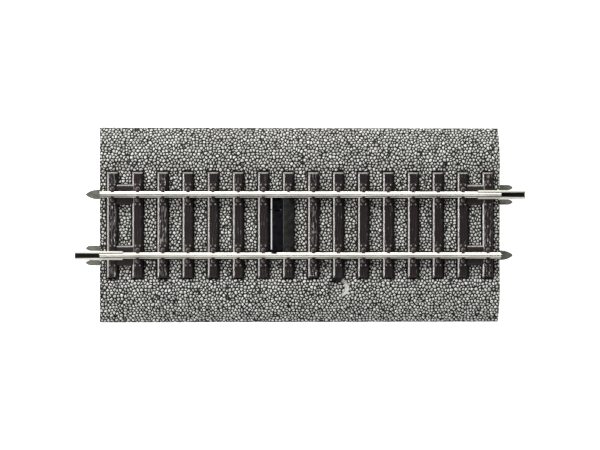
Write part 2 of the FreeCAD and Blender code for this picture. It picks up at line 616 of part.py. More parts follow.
def fixed_contact_point():
    """Round silver contact on the fixed leaf."""
    return rod_z(CONTACT_RADIUS, LEVER_MID, CONTACT_Y, FIXED_LEAF_TOP, FIXED_LEAF_TOP + CONTACT_HEIGHT)


def strip(blade_y, leg_y, tag_y, blade_z):
    """Stamped strip: level blade, upright leg, and a soldering tag with a hole."""
    half = LEAF_SHEET / 2
    blade = box(LEAF_LEFT, LEAF_RIGHT, min(blade_y, leg_y - half), max(blade_y, leg_y + half),
                blade_z - half, blade_z + half)
    leg = box(LEAF_LEFT, LEAF_RIGHT, leg_y - half, leg_y + half, TAG_HEIGHT - half, blade_z + half)
    tag = box(LEAF_LEFT, LEAF_RIGHT, min(tag_y, leg_y - half), max(tag_y, leg_y + half),
              TAG_HEIGHT - half, TAG_HEIGHT + half)
    hole_y = tag_y - math.copysign(2 * TAG_HOLE_RADIUS, tag_y)
    hole = rod_z(TAG_HOLE_RADIUS, LEVER_MID, hole_y, TAG_HEIGHT - CUT, TAG_HEIGHT + CUT)
    return blade.fuse([leg, tag]).cut(hole).removeSplitter()


def fixed_leaf():
    """Fixed contact strip with its tag towards the front."""
    return strip(FIXED_LEAF_TIP_Y, FIXED_LEAF_LEG_Y, -TAG_END, FIXED_LEAF_TOP - LEAF_SHEET / 2)


def leaf_terminal():
    """Terminal strip behind the moving leaf with its tag towards the back."""
    leg_y = TERMINAL_BACK - LEAF_SHEET / 2
    return strip(LEAF_PIVOT_Y, leg_y, TAG_END, LEAF_BOTTOM - RAIL_FIT - LEAF_SHEET / 2)


def main():
    """Write one STEP file for each piece."""
    os.makedirs("parts", exist_ok=True)
    nodes = {
        "ballast_bed": ballast_bed(),
        "sleeper_grid": sleeper_grid(),
        "rail_front": rail(-1),
        "rail_back": rail(1),
        "joiner_left": joiner(),
        "joiner_right": half_turn(joiner()),
        "switch_housing": switch_housing(),
        "housing_cover": housing_cover(),
        "housing_screws": housing_screws(),
        "contact_lever": contact_lever(),
        "lever_axle": lever_axle(),
        "moving_leaf": moving_leaf(),
        "moving_contact_point": moving_contact_point(),
        "fixed_leaf": fixed_leaf(),
        "fixed_contact_point": fixed_contact_point(),
        "leaf_terminal": leaf_terminal(),
    }
    for name, shape in nodes.items():
        shape.exportStep(f"parts/{name}.step")
        print(name, len(shape.Solids), round(shape.Volume, 2), shape.isValid())


main()
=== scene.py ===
import math

import bmesh
import bpy
import numpy as np
from mathutils import Matrix, Vector


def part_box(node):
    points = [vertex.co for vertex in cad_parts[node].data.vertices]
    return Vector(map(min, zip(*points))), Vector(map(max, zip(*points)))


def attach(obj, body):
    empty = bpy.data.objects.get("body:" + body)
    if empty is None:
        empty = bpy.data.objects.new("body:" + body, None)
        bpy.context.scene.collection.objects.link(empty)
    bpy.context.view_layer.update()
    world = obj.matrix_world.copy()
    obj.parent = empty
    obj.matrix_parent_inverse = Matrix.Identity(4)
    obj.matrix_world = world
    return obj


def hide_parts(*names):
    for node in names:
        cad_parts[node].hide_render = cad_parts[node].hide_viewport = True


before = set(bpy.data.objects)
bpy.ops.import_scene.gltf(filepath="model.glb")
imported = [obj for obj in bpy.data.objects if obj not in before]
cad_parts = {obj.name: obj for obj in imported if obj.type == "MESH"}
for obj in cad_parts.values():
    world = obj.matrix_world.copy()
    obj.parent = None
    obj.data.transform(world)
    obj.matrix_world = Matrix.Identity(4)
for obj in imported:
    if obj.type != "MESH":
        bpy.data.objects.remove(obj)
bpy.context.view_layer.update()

bl_info = {
    "name": "Ballasted Track Section",
    "version": (1, 0, 0),
    "blender": (4, 5, 0),
    "location": "View3D > Sidebar > Track",
    "description": "Builds the looks of a straight ballasted track section with a contact lever",
    "category": "Add Mesh",
}

MM = 0.001                      # every size below is in millimetres


def node_box(name):
    """Lowest and highest corner of a CAD node, in millimetres."""
    low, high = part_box(name)
    return low / MM, high / MM


# ---- places read from the frame ----
BED_HIGH = node_box("ballast_bed")[1]
GRID_HIGH = node_box("sleeper_grid")[1]
RAIL_LOW, RAIL_HIGH = node_box("rail_back")
JOINER_LOW, JOINER_HIGH = node_box("joiner_right")
LEVER_LOW, LEVER_HIGH = node_box("contact_lever")
AXLE_LOW, AXLE_HIGH = node_box("lever_axle")

HALF_LENGTH = RAIL_HIGH.x                       # bed and rails end together
HALF_BED = BED_HIGH.y
HALF_SLEEPER = GRID_HIGH.y
RAIL_Y = (RAIL_LOW.y + RAIL_HIGH.y) / 2
HALF_FOOT = (RAIL_HIGH.y - RAIL_LOW.y) / 2
SIDES = (-1, 1)

# ---- heights ----
RIM_Z = 1.3                     # foot of the slope
SHOULDER_Z = BED_HIGH.z         # hollows between the stones on the shoulder
CRIB_Z = 5.5                    # hollows between the stones between the sleepers
SLEEPER_Z = 6.9
SLEEPER_UNDER = 4.65
WEB_Z = 5.9
# webs reach past the rail foot so a dark strip shows along each rail: partly the grid's own web, partly a
# dark sheet standing in for the rail's shadow
WEB_HALF = 1.25
BLOCK_Z = 6.85

# ---- sleepers ----
SLEEPER_COUNT = 16
SLEEPER_WIDTH = 3.05
PITCH = 2 * HALF_LENGTH / SLEEPER_COUNT
LEVER_SLEEPER = 8               # its middle is the switch housing
BLOCK_WIDTH = 5.8
STRONG_GRAIN = (1, 3, 9, 16)   # sleepers whose grain is cut deepest

# ---- bed section ----
CREST_Y = HALF_SLEEPER + 2.75
DROP_END = HALF_SLEEPER + 0.1
DROP_START = DROP_END + 2.0
SLOPE_BULGE = 1.0
FIT = 0.1

# ---- chairs ----
PLATE_TOP = RAIL_LOW.z
PLATE_REACH = 3.3               # from the rail's centre line
CLIP_REACH = 1.505
BOLT_REACH = 2.8
BOLT_APART = 0.63
CLIP_TOP = GRID_HIGH.z

# ---- contact unit ----
WINDOW_HALF = RAIL_Y - HALF_FOOT - FIT / 2
WINDOW_LEFT = LEVER_LOW.x - 0.2
HOUSING_HALF = WINDOW_HALF - FIT

# ---- recess in the front shoulder ----
RECESS_SLEEPER = 10
RECESS_Y = -(HALF_SLEEPER + 2.85)
RECESS_FLOOR = SHOULDER_Z - 1.3
RECESS_FLOOR_RADIUS = 2.0
RECESS_RADIUS = 3.25


def sleeper_x(number):
    """Centre of a sleeper, counted from 1 at the -X end."""
    return -HALF_LENGTH + PITCH * (number - 0.5)


# ---------------------------------------------------------------- settings

class BallastSettings(bpy.types.PropertyGroup):
    """Stones moulded on the bed."""
    stone: bpy.props.FloatProperty(
        name="Stone Size", description="Width of one stone in millimetres",
        default=0.98, min=0.3, max=3.0)
    relief: bpy.props.FloatProperty(
        name="Relief", description="Height of the stones above the hollows in millimetres",
        default=0.62, min=0.05, max=1.5)
    step: bpy.props.FloatProperty(
        name="Mesh Step", description="Distance between mesh points in millimetres",
        default=0.13, min=0.08, max=1.0)
    stone_light: bpy.props.FloatVectorProperty(
        name="Light Stone", description="Colour of the lightest stones", subtype="COLOR",
        default=(0.73, 0.73, 0.69), min=0.0, max=1.0)
    stone_dark: bpy.props.FloatVectorProperty(
        name="Dark Stone", description="Colour of the darkest stones", subtype="COLOR",
        default=(0.40, 0.40, 0.375), min=0.0, max=1.0)
    # painted shade: near-black colour drawn deep between the stones, standing in for the shade in the
    # hollows
    hollow_shade: bpy.props.FloatVectorProperty(
        name="Hollow Shade", description="Colour deep between the stones", subtype="COLOR",
        default=(0.003, 0.003, 0.003), min=0.0, max=1.0)
    bed: bpy.props.FloatVectorProperty(
        name="Bed Plastic", description="Colour of the bare moulding", subtype="COLOR",
        default=(0.115, 0.12, 0.10), min=0.0, max=1.0)


class SleeperSettings(bpy.types.PropertyGroup):
    """Sleepers and rail chairs."""
    edge: bpy.props.FloatProperty(
        name="Sloped Edge", description="Width of the sloped top edge in millimetres",
        default=0.48, min=0.05, max=0.8)
    grain: bpy.props.FloatProperty(
        name="Grain Depth", description="Depth of the moulded wood grain in millimetres",
        default=0.09, min=0.0, max=0.4)
    light: bpy.props.FloatVectorProperty(
        name="Light Wood", description="Colour on the ridges of the grain", subtype="COLOR",
        default=(0.028, 0.015, 0.015), min=0.0, max=1.0)
    dark: bpy.props.FloatVectorProperty(
        name="Dark Wood", description="Colour in the grooves of the grain", subtype="COLOR",
        default=(0.006, 0.004, 0.005), min=0.0, max=1.0)
    # light edge colour: real rubbed wear, and painted highlight on the edges marked as lit
    wear: bpy.props.FloatVectorProperty(
        name="Worn Edge and Highlight", description="Colour of the rubbed edges, also used as their painted highlight", subtype="COLOR",
        default=(0.30, 0.28, 0.265), min=0.0, max=1.0)


class RailSettings(bpy.types.PropertyGroup):
    """Rails and rail joiners."""
    crown: bpy.props.FloatProperty(
        name="Crown", description="How much the rail head is domed, in millimetres",
        default=0.12, min=0.0, max=0.3)
    metal: bpy.props.FloatVectorProperty(
        name="Nickel Silver", description="Colour of rails and joiners", subtype="COLOR",
        default=(0.72, 0.70, 0.63), min=0.0, max=1.0)
    roughness: bpy.props.FloatProperty(
        name="Roughness", description="Mean roughness of the drawn metal",
        default=0.3, min=0.05, max=1.0, subtype="FACTOR")


class ContactSettings(bpy.types.PropertyGroup):
    """Contact lever and its housing."""
    edge: bpy.props.FloatProperty(
        name="Lever Edge", description="Width of the lever's sloped edges in millimetres",
        default=0.4, min=0.05, max=0.8)
    lever: bpy.props.FloatVectorProperty(
        name="Lever", description="Colour of the glossy lever", subtype="COLOR",
        default=(0.0015, 0.0017, 0.004), min=0.0, max=1.0)
    housing: bpy.props.FloatVectorProperty(
        name="Housing", description="Colour of the matt housing", subtype="COLOR",
        default=(0.006, 0.006, 0.005), min=0.0, max=1.0)


class StageSettings(bpy.types.PropertyGroup):
    """Floor, lights and camera."""
    key: bpy.props.FloatProperty(
        name="Left Light", description="Power of the softbox on the left", default=7.0,
        min=0.0, max=500.0, unit="POWER")
    back: bpy.props.FloatProperty(
        name="Back Light", description="Power of the softbox behind the track", default=7.0,
        min=0.0, max=500.0, unit="POWER")
    fill: bpy.props.FloatProperty(
        name="Fill Light", description="Power of the weak softbox in front", default=1.5,
        min=0.0, max=500.0, unit="POWER")
    sky: bpy.props.FloatProperty(
        name="Room Light", description="Brightness of the room around", default=0.1, min=0.0, max=5.0)
    glow: bpy.props.FloatProperty(
        name="Floor Glow", description="Brightness of the light table", default=0.9, min=0.0, max=5.0)
    floor: bpy.props.FloatVectorProperty(
        name="Floor", description="Colour of the floor", subtype="COLOR",
        default=(0.93, 0.93, 0.93), min=0.0, max=1.0)


# ---------------------------------------------------------------- node groups

def new_group(name, inputs, outputs):
    """Empty shader node group with named sockets, its input node and its output node."""
    group = bpy.data.node_groups.new(name, "ShaderNodeTree")
    for label, kind, default in inputs:
        socket = group.interface.new_socket(label, in_out="INPUT", socket_type=kind)
        if default is not None:
            socket.default_value = default
    for label, kind in outputs:
        group.interface.new_socket(label, in_out="OUTPUT", socket_type=kind)
    return group, group.nodes.new("NodeGroupInput"), group.nodes.new("NodeGroupOutput")


def add(tree, kind, **settings):
    """New node with its properties set."""
    node = tree.nodes.new(kind)
    for key, value in settings.items():
        setattr(node, key, value)
    return node


def join(tree, source, target):
    """Link two sockets."""
    tree.links.new(source, target)


def stretched_noise(tree, vector, scale, stretch, detail=3.0, roughness=0.55):
    """Noise texture on stretched coordinates; gives back its factor socket."""
    mapping = add(tree, "ShaderNodeMapping")
    mapping.inputs["Scale"].default_value = stretch
    join(tree, vector, mapping.inputs["Vector"])
    noise = add(tree, "ShaderNodeTexNoise")
    noise.inputs["Detail"].default_value = detail
    noise.inputs["Roughness"].default_value = roughness
    if isinstance(scale, float):
        noise.inputs["Scale"].default_value = scale
    else:
        join(tree, scale, noise.inputs["Scale"])
    join(tree, mapping.outputs["Vector"], noise.inputs["Vector"])
    return noise.outputs["Fac"]


def spread(tree, value, low, high, new_low=0.0, new_high=1.0):
    """Map Range from low..high to new_low..new_high, clamped; gives back the result socket."""
    ranger = add(tree, "ShaderNodeMapRange")
    ranger.inputs["From Min"].default_value = low
    ranger.inputs["From Max"].default_value = high
    ranger.inputs["To Min"].default_value = new_low
    ranger.inputs["To Max"].default_value = new_high
    join(tree, value, ranger.inputs["Value"])
    return ranger.outputs["Result"]


def mix_colour(tree, factor, first, second, blend="MIX"):
    """Mix two colours, each a socket or a colour; gives back the result socket."""
    mixer = add(tree, "ShaderNodeMix", data_type="RGBA", blend_type=blend)
    for socket, value in ((mixer.inputs[0], factor), (mixer.inputs[6], first), (mixer.inputs[7], second)):
        if isinstance(value, bpy.types.NodeSocket):
            join(tree, value, socket)
        elif isinstance(value, (int, float)):
            socket.default_value = value
        else:
            socket.default_value = (*value, 1.0)
    return mixer.outputs[2]


def mottle_group():
    """Cloudy change of tone between two colours, with a mask of the same clouds."""
    name = "Cloudy Tone"
    if name in bpy.data.node_groups:
        return bpy.data.node_groups[name]
    group, source, sink = new_group(
        name,
        [("Vector", "NodeSocketVector", None), ("Scale", "NodeSocketFloat", 400.0),
         ("Light", "NodeSocketColor", (0.5, 0.5, 0.5, 1)), ("Dark", "NodeSocketColor", (0.3, 0.3, 0.3, 1))],
        [("Color", "NodeSocketColor"), ("Mask", "NodeSocketFloat")])
    cloud = stretched_noise(group, source.outputs["Vector"], source.outputs["Scale"], (1, 1, 1), 4.0, 0.6)
    mask = spread(group, cloud, 0.35, 0.65)
    tone = mix_colour(group, mask, source.outputs["Dark"], source.outputs["Light"])
    join(group, tone, sink.inputs["Color"])
    join(group, mask, sink.inputs["Mask"])
    return group


def grain_group():
    """Long streaks along Y, as on wood: a mask and a height."""
    name = "Wood Streaks"
    if name in bpy.data.node_groups:
        return bpy.data.node_groups[name]
    group, source, sink = new_group(
        name,
        [("Vector", "NodeSocketVector", None), ("Scale", "NodeSocketFloat", 300.0)],
        [("Mask", "NodeSocketFloat"), ("Height", "NodeSocketFloat")])
    vector, scale = source.outputs["Vector"], source.outputs["Scale"]
    long_streak = stretched_noise(group, vector, scale, (7, 0.9, 1), 5.0, 0.7)
    short_streak = stretched_noise(group, vector, scale, (16, 3, 1), 3.0, 0.6)
    mask = spread(group, long_streak, 0.38, 0.66)
    blend = add(group, "ShaderNodeMath", operation="MULTIPLY_ADD")
    join(group, short_streak, blend.inputs[0])
    blend.inputs[1].default_value = 0.5
    join(group, long_streak, blend.inputs[2])
    join(group, mask, sink.inputs["Mask"])
    join(group, blend.outputs["Value"], sink.inputs["Height"])
    return group


def drawn_group():
    """Fine lines along X left by drawing or rolling metal, with dull patches."""
    name = "Drawn Lines"
    if name in bpy.data.node_groups:
        return bpy.data.node_groups[name]
    group, source, sink = new_group(
        name,
        [("Vector", "NodeSocketVector", None), ("Scale", "NodeSocketFloat", 900.0)],
        [("Lines", "NodeSocketFloat"), ("Patches", "NodeSocketFloat")])
    vector, scale = source.outputs["Vector"], source.outputs["Scale"]
    lines = stretched_noise(group, vector, scale, (0.04, 5, 5), 3.0, 0.6)
    patches = stretched_noise(group, source.outputs["Vector"], 260.0, (0.35, 1, 1), 4.0, 0.6)
    join(group, lines, sink.inputs["Lines"])
    join(group, spread(group, patches, 0.4, 0.7), sink.inputs["Patches"])
    return group


def pores_group():
    """Very fine pebbled skin of moulded plastic, as a height."""
    name = "Moulded Skin"
    if name in bpy.data.node_groups:
        return bpy.data.node_groups[name]
    group, source, sink = new_group(
        name,
        [("Vector", "NodeSocketVector", None), ("Scale", "NodeSocketFloat", 5000.0)],
        [("Height", "NodeSocketFloat"), ("Wear", "NodeSocketFloat")])
    fine = stretched_noise(group, source.outputs["Vector"], source.outputs["Scale"], (1, 1, 1), 2.0, 0.5)
    wear = stretched_noise(group, source.outputs["Vector"], 700.0, (1, 1, 1), 5.0, 0.7)
    join(group, fine, sink.inputs["Height"])
    join(group, spread(group, wear, 0.5, 0.75), sink.inputs["Wear"])
    return group


# ---------------------------------------------------------------- materials

def new_material(name):
    """Material with its node tree, Principled shader and Object coordinates."""
    material = bpy.data.materials.new(name)
    material.use_nodes = True
    tree = material.node_tree
    shader = tree.nodes["Principled BSDF"]
    coords = add(tree, "ShaderNodeTexCoord").outputs["Object"]
    return material, tree, shader, coords


def use(tree, group, coords, **values):
    """Place a node group on the Object coordinates and set its values."""
    node = add(tree, "ShaderNodeGroup", node_tree=group)
    join(tree, coords, node.inputs["Vector"])
    for key, value in values.items():
        node.inputs[key.replace("_", " ")].default_value = value
    return node


def bump(tree, shader, height, strength, distance):
    """Bump node from a height, distance in millimetres, into the shader's normal."""
    node = add(tree, "ShaderNodeBump")
    node.inputs["Strength"].default_value = strength
    node.inputs["Distance"].default_value = distance * MM
    join(tree, height, node.inputs["Height"])
    join(tree, node.outputs["Normal"], shader.inputs["Normal"])


def stone_material(settings):
    """Grey stones: tone by stone, painted shade (near black) in the hollows, dusty tops."""
    material, tree, shader, coords = new_material("ballast_stone")
    tone = add(tree, "ShaderNodeAttribute", attribute_name="stone_tone").outputs["Fac"]
    height = add(tree, "ShaderNodeAttribute", attribute_name="stone_height").outputs["Fac"]
    stone = mix_colour(tree, tone, tuple(settings.stone_dark), tuple(settings.stone_light))
    skin = use(tree, pores_group(), coords, Scale=6500.0)
    dusty = mix_colour(tree, skin.outputs["Wear"], stone, (0.55, 0.55, 0.52))
    # painted shade: where stone_height is low (hollows, cleared ground) the stones take the near-black
    # hollow colour
    depth = spread(tree, height, 0.56, 0.74)
    colour = mix_colour(tree, depth, tuple(settings.hollow_shade), dusty)
    join(tree, colour, shader.inputs["Base Color"])
    join(tree, spread(tree, skin.outputs["Wear"], 0.0, 1.0, 0.5, 0.8), shader.inputs["Roughness"])
    bump(tree, shader, skin.outputs["Height"], 0.5, 0.03)
    return material


def bed_material(settings):
    """Bare grey moulding of the bed: cloudy tone, rubbed patches, fine skin."""
    material, tree, shader, coords = new_material("bed_plastic")
    light = (*[1.25 * c for c in settings.bed], 1)
    dark = (*[0.8 * c for c in settings.bed], 1)
    cloud = use(tree, mottle_group(), coords, Scale=900.0, Light=light, Dark=dark)
    skin = use(tree, pores_group(), coords, Scale=4200.0)
    pale = tuple(1.5 * c for c in settings.bed)
    rubbed = mix_colour(tree, skin.outputs["Wear"], cloud.outputs["Color"], pale)
    join(tree, rubbed, shader.inputs["Base Color"])
    join(tree, spread(tree, cloud.outputs["Mask"], 0.0, 1.0, 0.42, 0.6), shader.inputs["Roughness"])
    bump(tree, shader, skin.outputs["Height"], 0.35, 0.04)
    return material


def wood_material(name, light, dark, wear, low_roughness):
    """Brown plastic with wood grain: dark grooves, lighter ridges, rubbed edges that also carry a painted
    highlight, satin sheen.
    """
    material, tree, shader, coords = new_material(name)
    grain = use(tree, grain_group(), coords, Scale=420.0)
    wood = mix_colour(tree, grain.outputs["Mask"], tuple(dark), tuple(light))
    cloud = use(tree, mottle_group(), coords, Scale=230.0, Light=(1, 1, 1, 1), Dark=(0.62, 0.62, 0.68, 1))
    toned = mix_colour(tree, 1.0, wood, cloud.outputs["Color"], "MULTIPLY")
    # the edge mask mixes in the light edge colour: real rubbed wear, and painted highlight on the edges that
    # face the lamps
    rubbed = wear_and_highlight(tree, coords)
    join(tree, mix_colour(tree, rubbed, toned, tuple(wear)), shader.inputs["Base Color"])
    sheen = spread(tree, grain.outputs["Mask"], 0.0, 1.0, low_roughness + 0.18, low_roughness)
    polished = add(tree, "ShaderNodeMix", data_type="FLOAT")
    join(tree, rubbed, polished.inputs[0])
    join(tree, sheen, polished.inputs[2])
    polished.inputs[3].default_value = 0.17
    join(tree, polished.outputs[0], shader.inputs["Roughness"])
    bump(tree, shader, grain.outputs["Height"], 0.5, 0.08)
    return material


def wear_and_highlight(tree, coords):
    """Mask of rubbed edges, with painted highlight on the lit edges: the piece's own wear attribute, broken
    up by noise.
    """
    worn_and_lit = add(tree, "ShaderNodeAttribute", attribute_name="wear_and_highlight").outputs["Fac"]
    skin = use(tree, pores_group(), coords, Scale=2600.0)
    patchy = spread(tree, skin.outputs["Height"], 0.3, 0.6, 0.55, 1.0)
    product = add(tree, "ShaderNodeMath", operation="MULTIPLY")
    join(tree, spread(tree, worn_and_lit, 0.3, 0.85), product.inputs[0])
    join(tree, patchy, product.inputs[1])
    return product.outputs["Value"]


def metal_material(name, colour, roughness, painted_shade=None, metallic=1.0):
    """Drawn metal: lines along X and dull patches, with painted shade (near black) where the named shade
    attribute is high.
    """
    material, tree, shader, coords = new_material(name)
    lines = use(tree, drawn_group(), coords, Scale=1400.0)
    dull = tuple(0.72 * c for c in colour)
    tint = mix_colour(tree, lines.outputs["Patches"], tuple(colour), dull)
    if painted_shade:
        # painted shade: darken the metal to near black where the piece's shade attribute is high, standing
        # in for shadow
        shade_mask = add(tree, "ShaderNodeAttribute", attribute_name=painted_shade).outputs["Fac"]
        tint = mix_colour(tree, spread(tree, shade_mask, 0.2, 0.8), tint, (0.012, 0.012, 0.011))
    join(tree, tint, shader.inputs["Base Color"])
    shader.inputs["Metallic"].default_value = metallic
    blend = add(tree, "ShaderNodeMath", operation="ADD")
    join(tree, spread(tree, lines.outputs["Lines"], 0.35, 0.65, -0.06, 0.06), blend.inputs[0])
    dulled = spread(tree, lines.outputs["Patches"], 0.0, 1.0, roughness, roughness + 0.16)
    join(tree, dulled, blend.inputs[1])
    join(tree, blend.outputs["Value"], shader.inputs["Roughness"])
    bump(tree, shader, lines.outputs["Lines"], 0.25, 0.02)
    return material


def plastic_material(name, colour, low_roughness, high_roughness, skin_depth):
    """Plain dark moulding: cloudy tone, rubbed gloss and a fine skin."""
    material, tree, shader, coords = new_material(name)
    light = (*[min(1.0, 1.6 * c + 0.004) for c in colour], 1)
    dark = (*[0.7 * c for c in colour], 1)
    cloud = use(tree, mottle_group(), coords, Scale=700.0, Light=light, Dark=dark)
    skin = use(tree, pores_group(), coords, Scale=5200.0)
    join(tree, cloud.outputs["Color"], shader.inputs["Base Color"])
    sheen = spread(tree, skin.outputs["Wear"], 0.0, 1.0, low_roughness, high_roughness)
    join(tree, sheen, shader.inputs["Roughness"])
    bump(tree, shader, skin.outputs["Height"], 0.3, skin_depth)
    return material


def floor_material(colour, glow):
    """Plain pale light table with a barely uneven tone."""
    material, tree, shader, coords = new_material("pale_floor")
    dark = (*[0.985 * c for c in colour], 1)
    cloud = use(tree, mottle_group(), coords, Scale=6.0, Light=(*colour, 1), Dark=dark)
    join(tree, cloud.outputs["Color"], shader.inputs["Base Color"])
    shader.inputs["Roughness"].default_value = 0.9
    shader.inputs["Emission Color"].default_value = (1, 1, 1, 1)
    shader.inputs["Emission Strength"].default_value = glow
    return material


# ---------------------------------------------------------------- mesh helpers

def dress(node, material):
    """Give a CAD node its material."""
    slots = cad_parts[node].data.materials
    slots.clear()
    slots.append(material)


def smooth_edges(mesh, angle=35.0):
    """Smooth shading that keeps edges sharper than the angle."""
    mesh.shade_smooth()
    mesh.set_sharp_from_angle(angle=math.radians(angle))


def piece_from(bm, name, material, body, nodes=(), angle=35.0):
    """Turn a bmesh in millimetres into a finished piece that rides on a CAD body."""
    bmesh.ops.recalc_face_normals(bm, faces=bm.faces)
    bmesh.ops.scale(bm, vec=(MM, MM, MM), verts=bm.verts)
    mesh = bpy.data.meshes.new(name)
    bm.to_mesh(mesh)
    bm.free()
    return piece_with(mesh, name, material, body, nodes, angle)


def piece_with(mesh, name, material, body, nodes=(), angle=35.0):
    """Finished piece from a mesh that is already in metres."""
    smooth_edges(mesh, angle)
    mesh.materials.append(material)
    piece = bpy.data.objects.new(name, mesh)
    bpy.context.scene.collection.objects.link(piece)
    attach(piece, body)
    if nodes:
        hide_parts(*nodes)
    return piece


def block(bm, low, high, bevel=0.0, segments=2):
    """Box between two corners, with rounded edges; gives back its vertices."""
    made = bmesh.ops.create_cube(bm, size=1.0)["verts"]
    size = [high[i] - low[i] for i in range(3)]
    middle = [(high[i] + low[i]) / 2 for i in range(3)]
    bmesh.ops.scale(bm, vec=size, verts=made)
    bmesh.ops.translate(bm, vec=middle, verts=made)
    if bevel:
        edges = list({edge for vert in made for edge in vert.link_edges})
        made = round_edges(bm, edges, bevel, segments)
    return made


def round_edges(bm, edges, width, segments=2):
    """Bevel edges and give back the vertices of the new faces."""
    result = bmesh.ops.bevel(bm, geom=edges, offset=width, offset_type="OFFSET", segments=segments,
                             profile=0.5, affect="EDGES", clamp_overlap=True, material=-1)
    return result["verts"]


def outline_bar(bm, points, axis, start, end):
    """Closed outline drawn out along an axis: "x" takes (y, z) points and "y" takes (x, z)."""
    place = {"x": lambda a, b: (start, a, b), "y": lambda a, b: (a, start, b)}
    along = {"x": (1, 0, 0), "y": (0, 1, 0)}[axis]
    corners = [bm.verts.new(place[axis](a, b)) for a, b in points]
    face = bm.faces.new(corners)
    grown = bmesh.ops.extrude_face_region(bm, geom=[face], use_keep_orig=True)["geom"]
    moved = [item for item in grown if isinstance(item, bmesh.types.BMVert)]
    bmesh.ops.translate(bm, vec=Vector(along) * (end - start), verts=moved)
    return corners + moved


# ---------------------------------------------------------------- ballast

def slope_arc():
    """Circle of the slope in (y, z): centre, radius, and the angles of crest and rim."""
    crest = Vector((CREST_Y, SHOULDER_Z))
    rim = Vector((HALF_BED, RIM_Z))
    chord = (rim - crest).length
    radius = (chord * chord / 4 + SLOPE_BULGE * SLOPE_BULGE) / (2 * SLOPE_BULGE)
    across = (rim - crest).normalized()
    inward = Vector((across.y, -across.x))
    centre = (crest + rim) / 2 + inward * (radius - SLOPE_BULGE)
    crest_angle = math.atan2(crest.y - centre.y, crest.x - centre.x)
    rim_angle = math.atan2(rim.y - centre.y, rim.x - centre.x)
    return centre, radius, crest_angle, rim_angle


LOOSENESS = 0.7                # how far a stone may stand from its place in the row
ARC_CENTRE, ARC_RADIUS, CREST_ANGLE, RIM_ANGLE = slope_arc()
ARC_LENGTH = ARC_RADIUS * (CREST_ANGLE - RIM_ANGLE)
RIM_S = CREST_Y + ARC_LENGTH


def bed_surface(s):
    """Bed surface at distance s from the track's centre, measured along the surface: y, z and normal."""
    side = np.sign(s)
    out = np.abs(s)
    y = out.copy()
    z = np.interp(out, [0, DROP_END, DROP_START, CREST_Y], [CRIB_Z, CRIB_Z, SHOULDER_Z, SHOULDER_Z])
    normal_y = np.zeros_like(out)
    normal_z = np.ones_like(out)
    on_slope = out > CREST_Y
    angle = CREST_ANGLE - (out[on_slope] - CREST_Y) / ARC_RADIUS
    y[on_slope] = ARC_CENTRE.x + ARC_RADIUS * np.cos(angle)
    z[on_slope] = ARC_CENTRE.y + ARC_RADIUS * np.sin(angle)
    normal_y[on_slope] = np.cos(angle)
    normal_z[on_slope] = np.sin(angle)
    return side * y, z, side * normal_y, normal_z


def chance(a, b, salt):
    """Repeatable random numbers from 0 to 1 for whole-number places a, b."""
    value = np.sin(a * 127.1 + b * 311.7 + salt * 74.7) * 43758.5453
    return value - np.floor(value)


def stones(x, s, size):
    """Height from 0 to 1 and tone from 0 to 1 of angular stones packed side by side in staggered rows."""
    row = np.floor(s / (0.88 * size))
    nearest = np.full(x.shape, 9.0)
    second = np.full(x.shape, 9.0)
    top = np.zeros(x.shape)
    tone = np.zeros(x.shape)
    for j in (-1, 0, 1):
        b = row + j
        shift = 0.5 * np.mod(b, 2)
        column = np.floor(x / size - shift)
        for i in (-1, 0, 1):
            a = column + i
            dx = x / size - shift - a - 0.5 - LOOSENESS * (chance(a, b, 1) - 0.5)
            ds = s / size - 0.88 * (b + 0.5) - LOOSENESS * (chance(a, b, 2) - 0.5)
            turn = math.pi * chance(a, b, 7)
            long_way = dx * np.cos(turn) + ds * np.sin(turn)
            short_way = ds * np.cos(turn) - dx * np.sin(turn)
            far = np.sqrt(0.72 * long_way * long_way + 1.25 * short_way * short_way)
            lean = 0.7 * ((chance(a, b, 3) - 0.5) * dx + (chance(a, b, 4) - 0.5) * ds)
            closer = far < nearest
            second = np.where(closer, nearest, np.minimum(second, far))
            nearest = np.where(closer, far, nearest)
            top = np.where(closer, 0.8 + 0.2 * chance(a, b, 5) + lean, top)
            tone = np.where(closer, chance(a, b, 6), tone)
    edge = np.clip((second - nearest) / 0.5, 0, 1)
    rounded = edge * (2 - edge)
    return np.clip(rounded * (top - 0.55 * nearest * nearest), 0, 1), tone


def clearance(x, s):
    """Share of the stones' height that is left near sleepers and in the gap beside the lever, 0 to 1."""
    number = np.clip(np.round((x + HALF_LENGTH) / PITCH + 0.5), 1, SLEEPER_COUNT)
    across = np.clip(np.abs(x - sleeper_x(number)) - SLEEPER_WIDTH / 2, 0, None)
    along = np.clip(np.abs(s) - HALF_SLEEPER, 0, None)
    # lowering the stones here also gives them the near-black hollow colour: painted shade beside the
    # sleepers and in the bare gap by the lever
    near = np.clip(np.hypot(across, along) / 0.45, 0, 1)
    gap = (x > sleeper_x(LEVER_SLEEPER - 1)) & (x < WINDOW_LEFT + 0.2) & (np.abs(s) < WINDOW_HALF)
    return np.where(gap, 0.0, near)


def stone_patch(bm, x0, x1, s0, s1, step):
    """Flat closed slab in (x, s): a fine grid on top, a skirt and one face below."""
    columns = max(2, round((x1 - x0) / step))
    rows = max(2, round((s1 - s0) / step))
    top = bmesh.ops.create_grid(bm, x_segments=columns, y_segments=rows, size=0.5)["verts"]
    bmesh.ops.scale(bm, vec=(x1 - x0, s1 - s0, 1), verts=top)
    bmesh.ops.translate(bm, vec=((x0 + x1) / 2, (s0 + s1) / 2, 0), verts=top)
    border = list({edge for vert in top for edge in vert.link_edges if edge.is_boundary})
    skirt = bmesh.ops.extrude_edge_only(bm, edges=border)["geom"]
    below = [item for item in skirt if isinstance(item, bmesh.types.BMVert)]
    bmesh.ops.translate(bm, vec=(0, 0, -1), verts=below)
    rim = [item for item in skirt if isinstance(item, bmesh.types.BMEdge) and item.is_boundary]
    bmesh.ops.edgeloop_fill(bm, edges=rim)


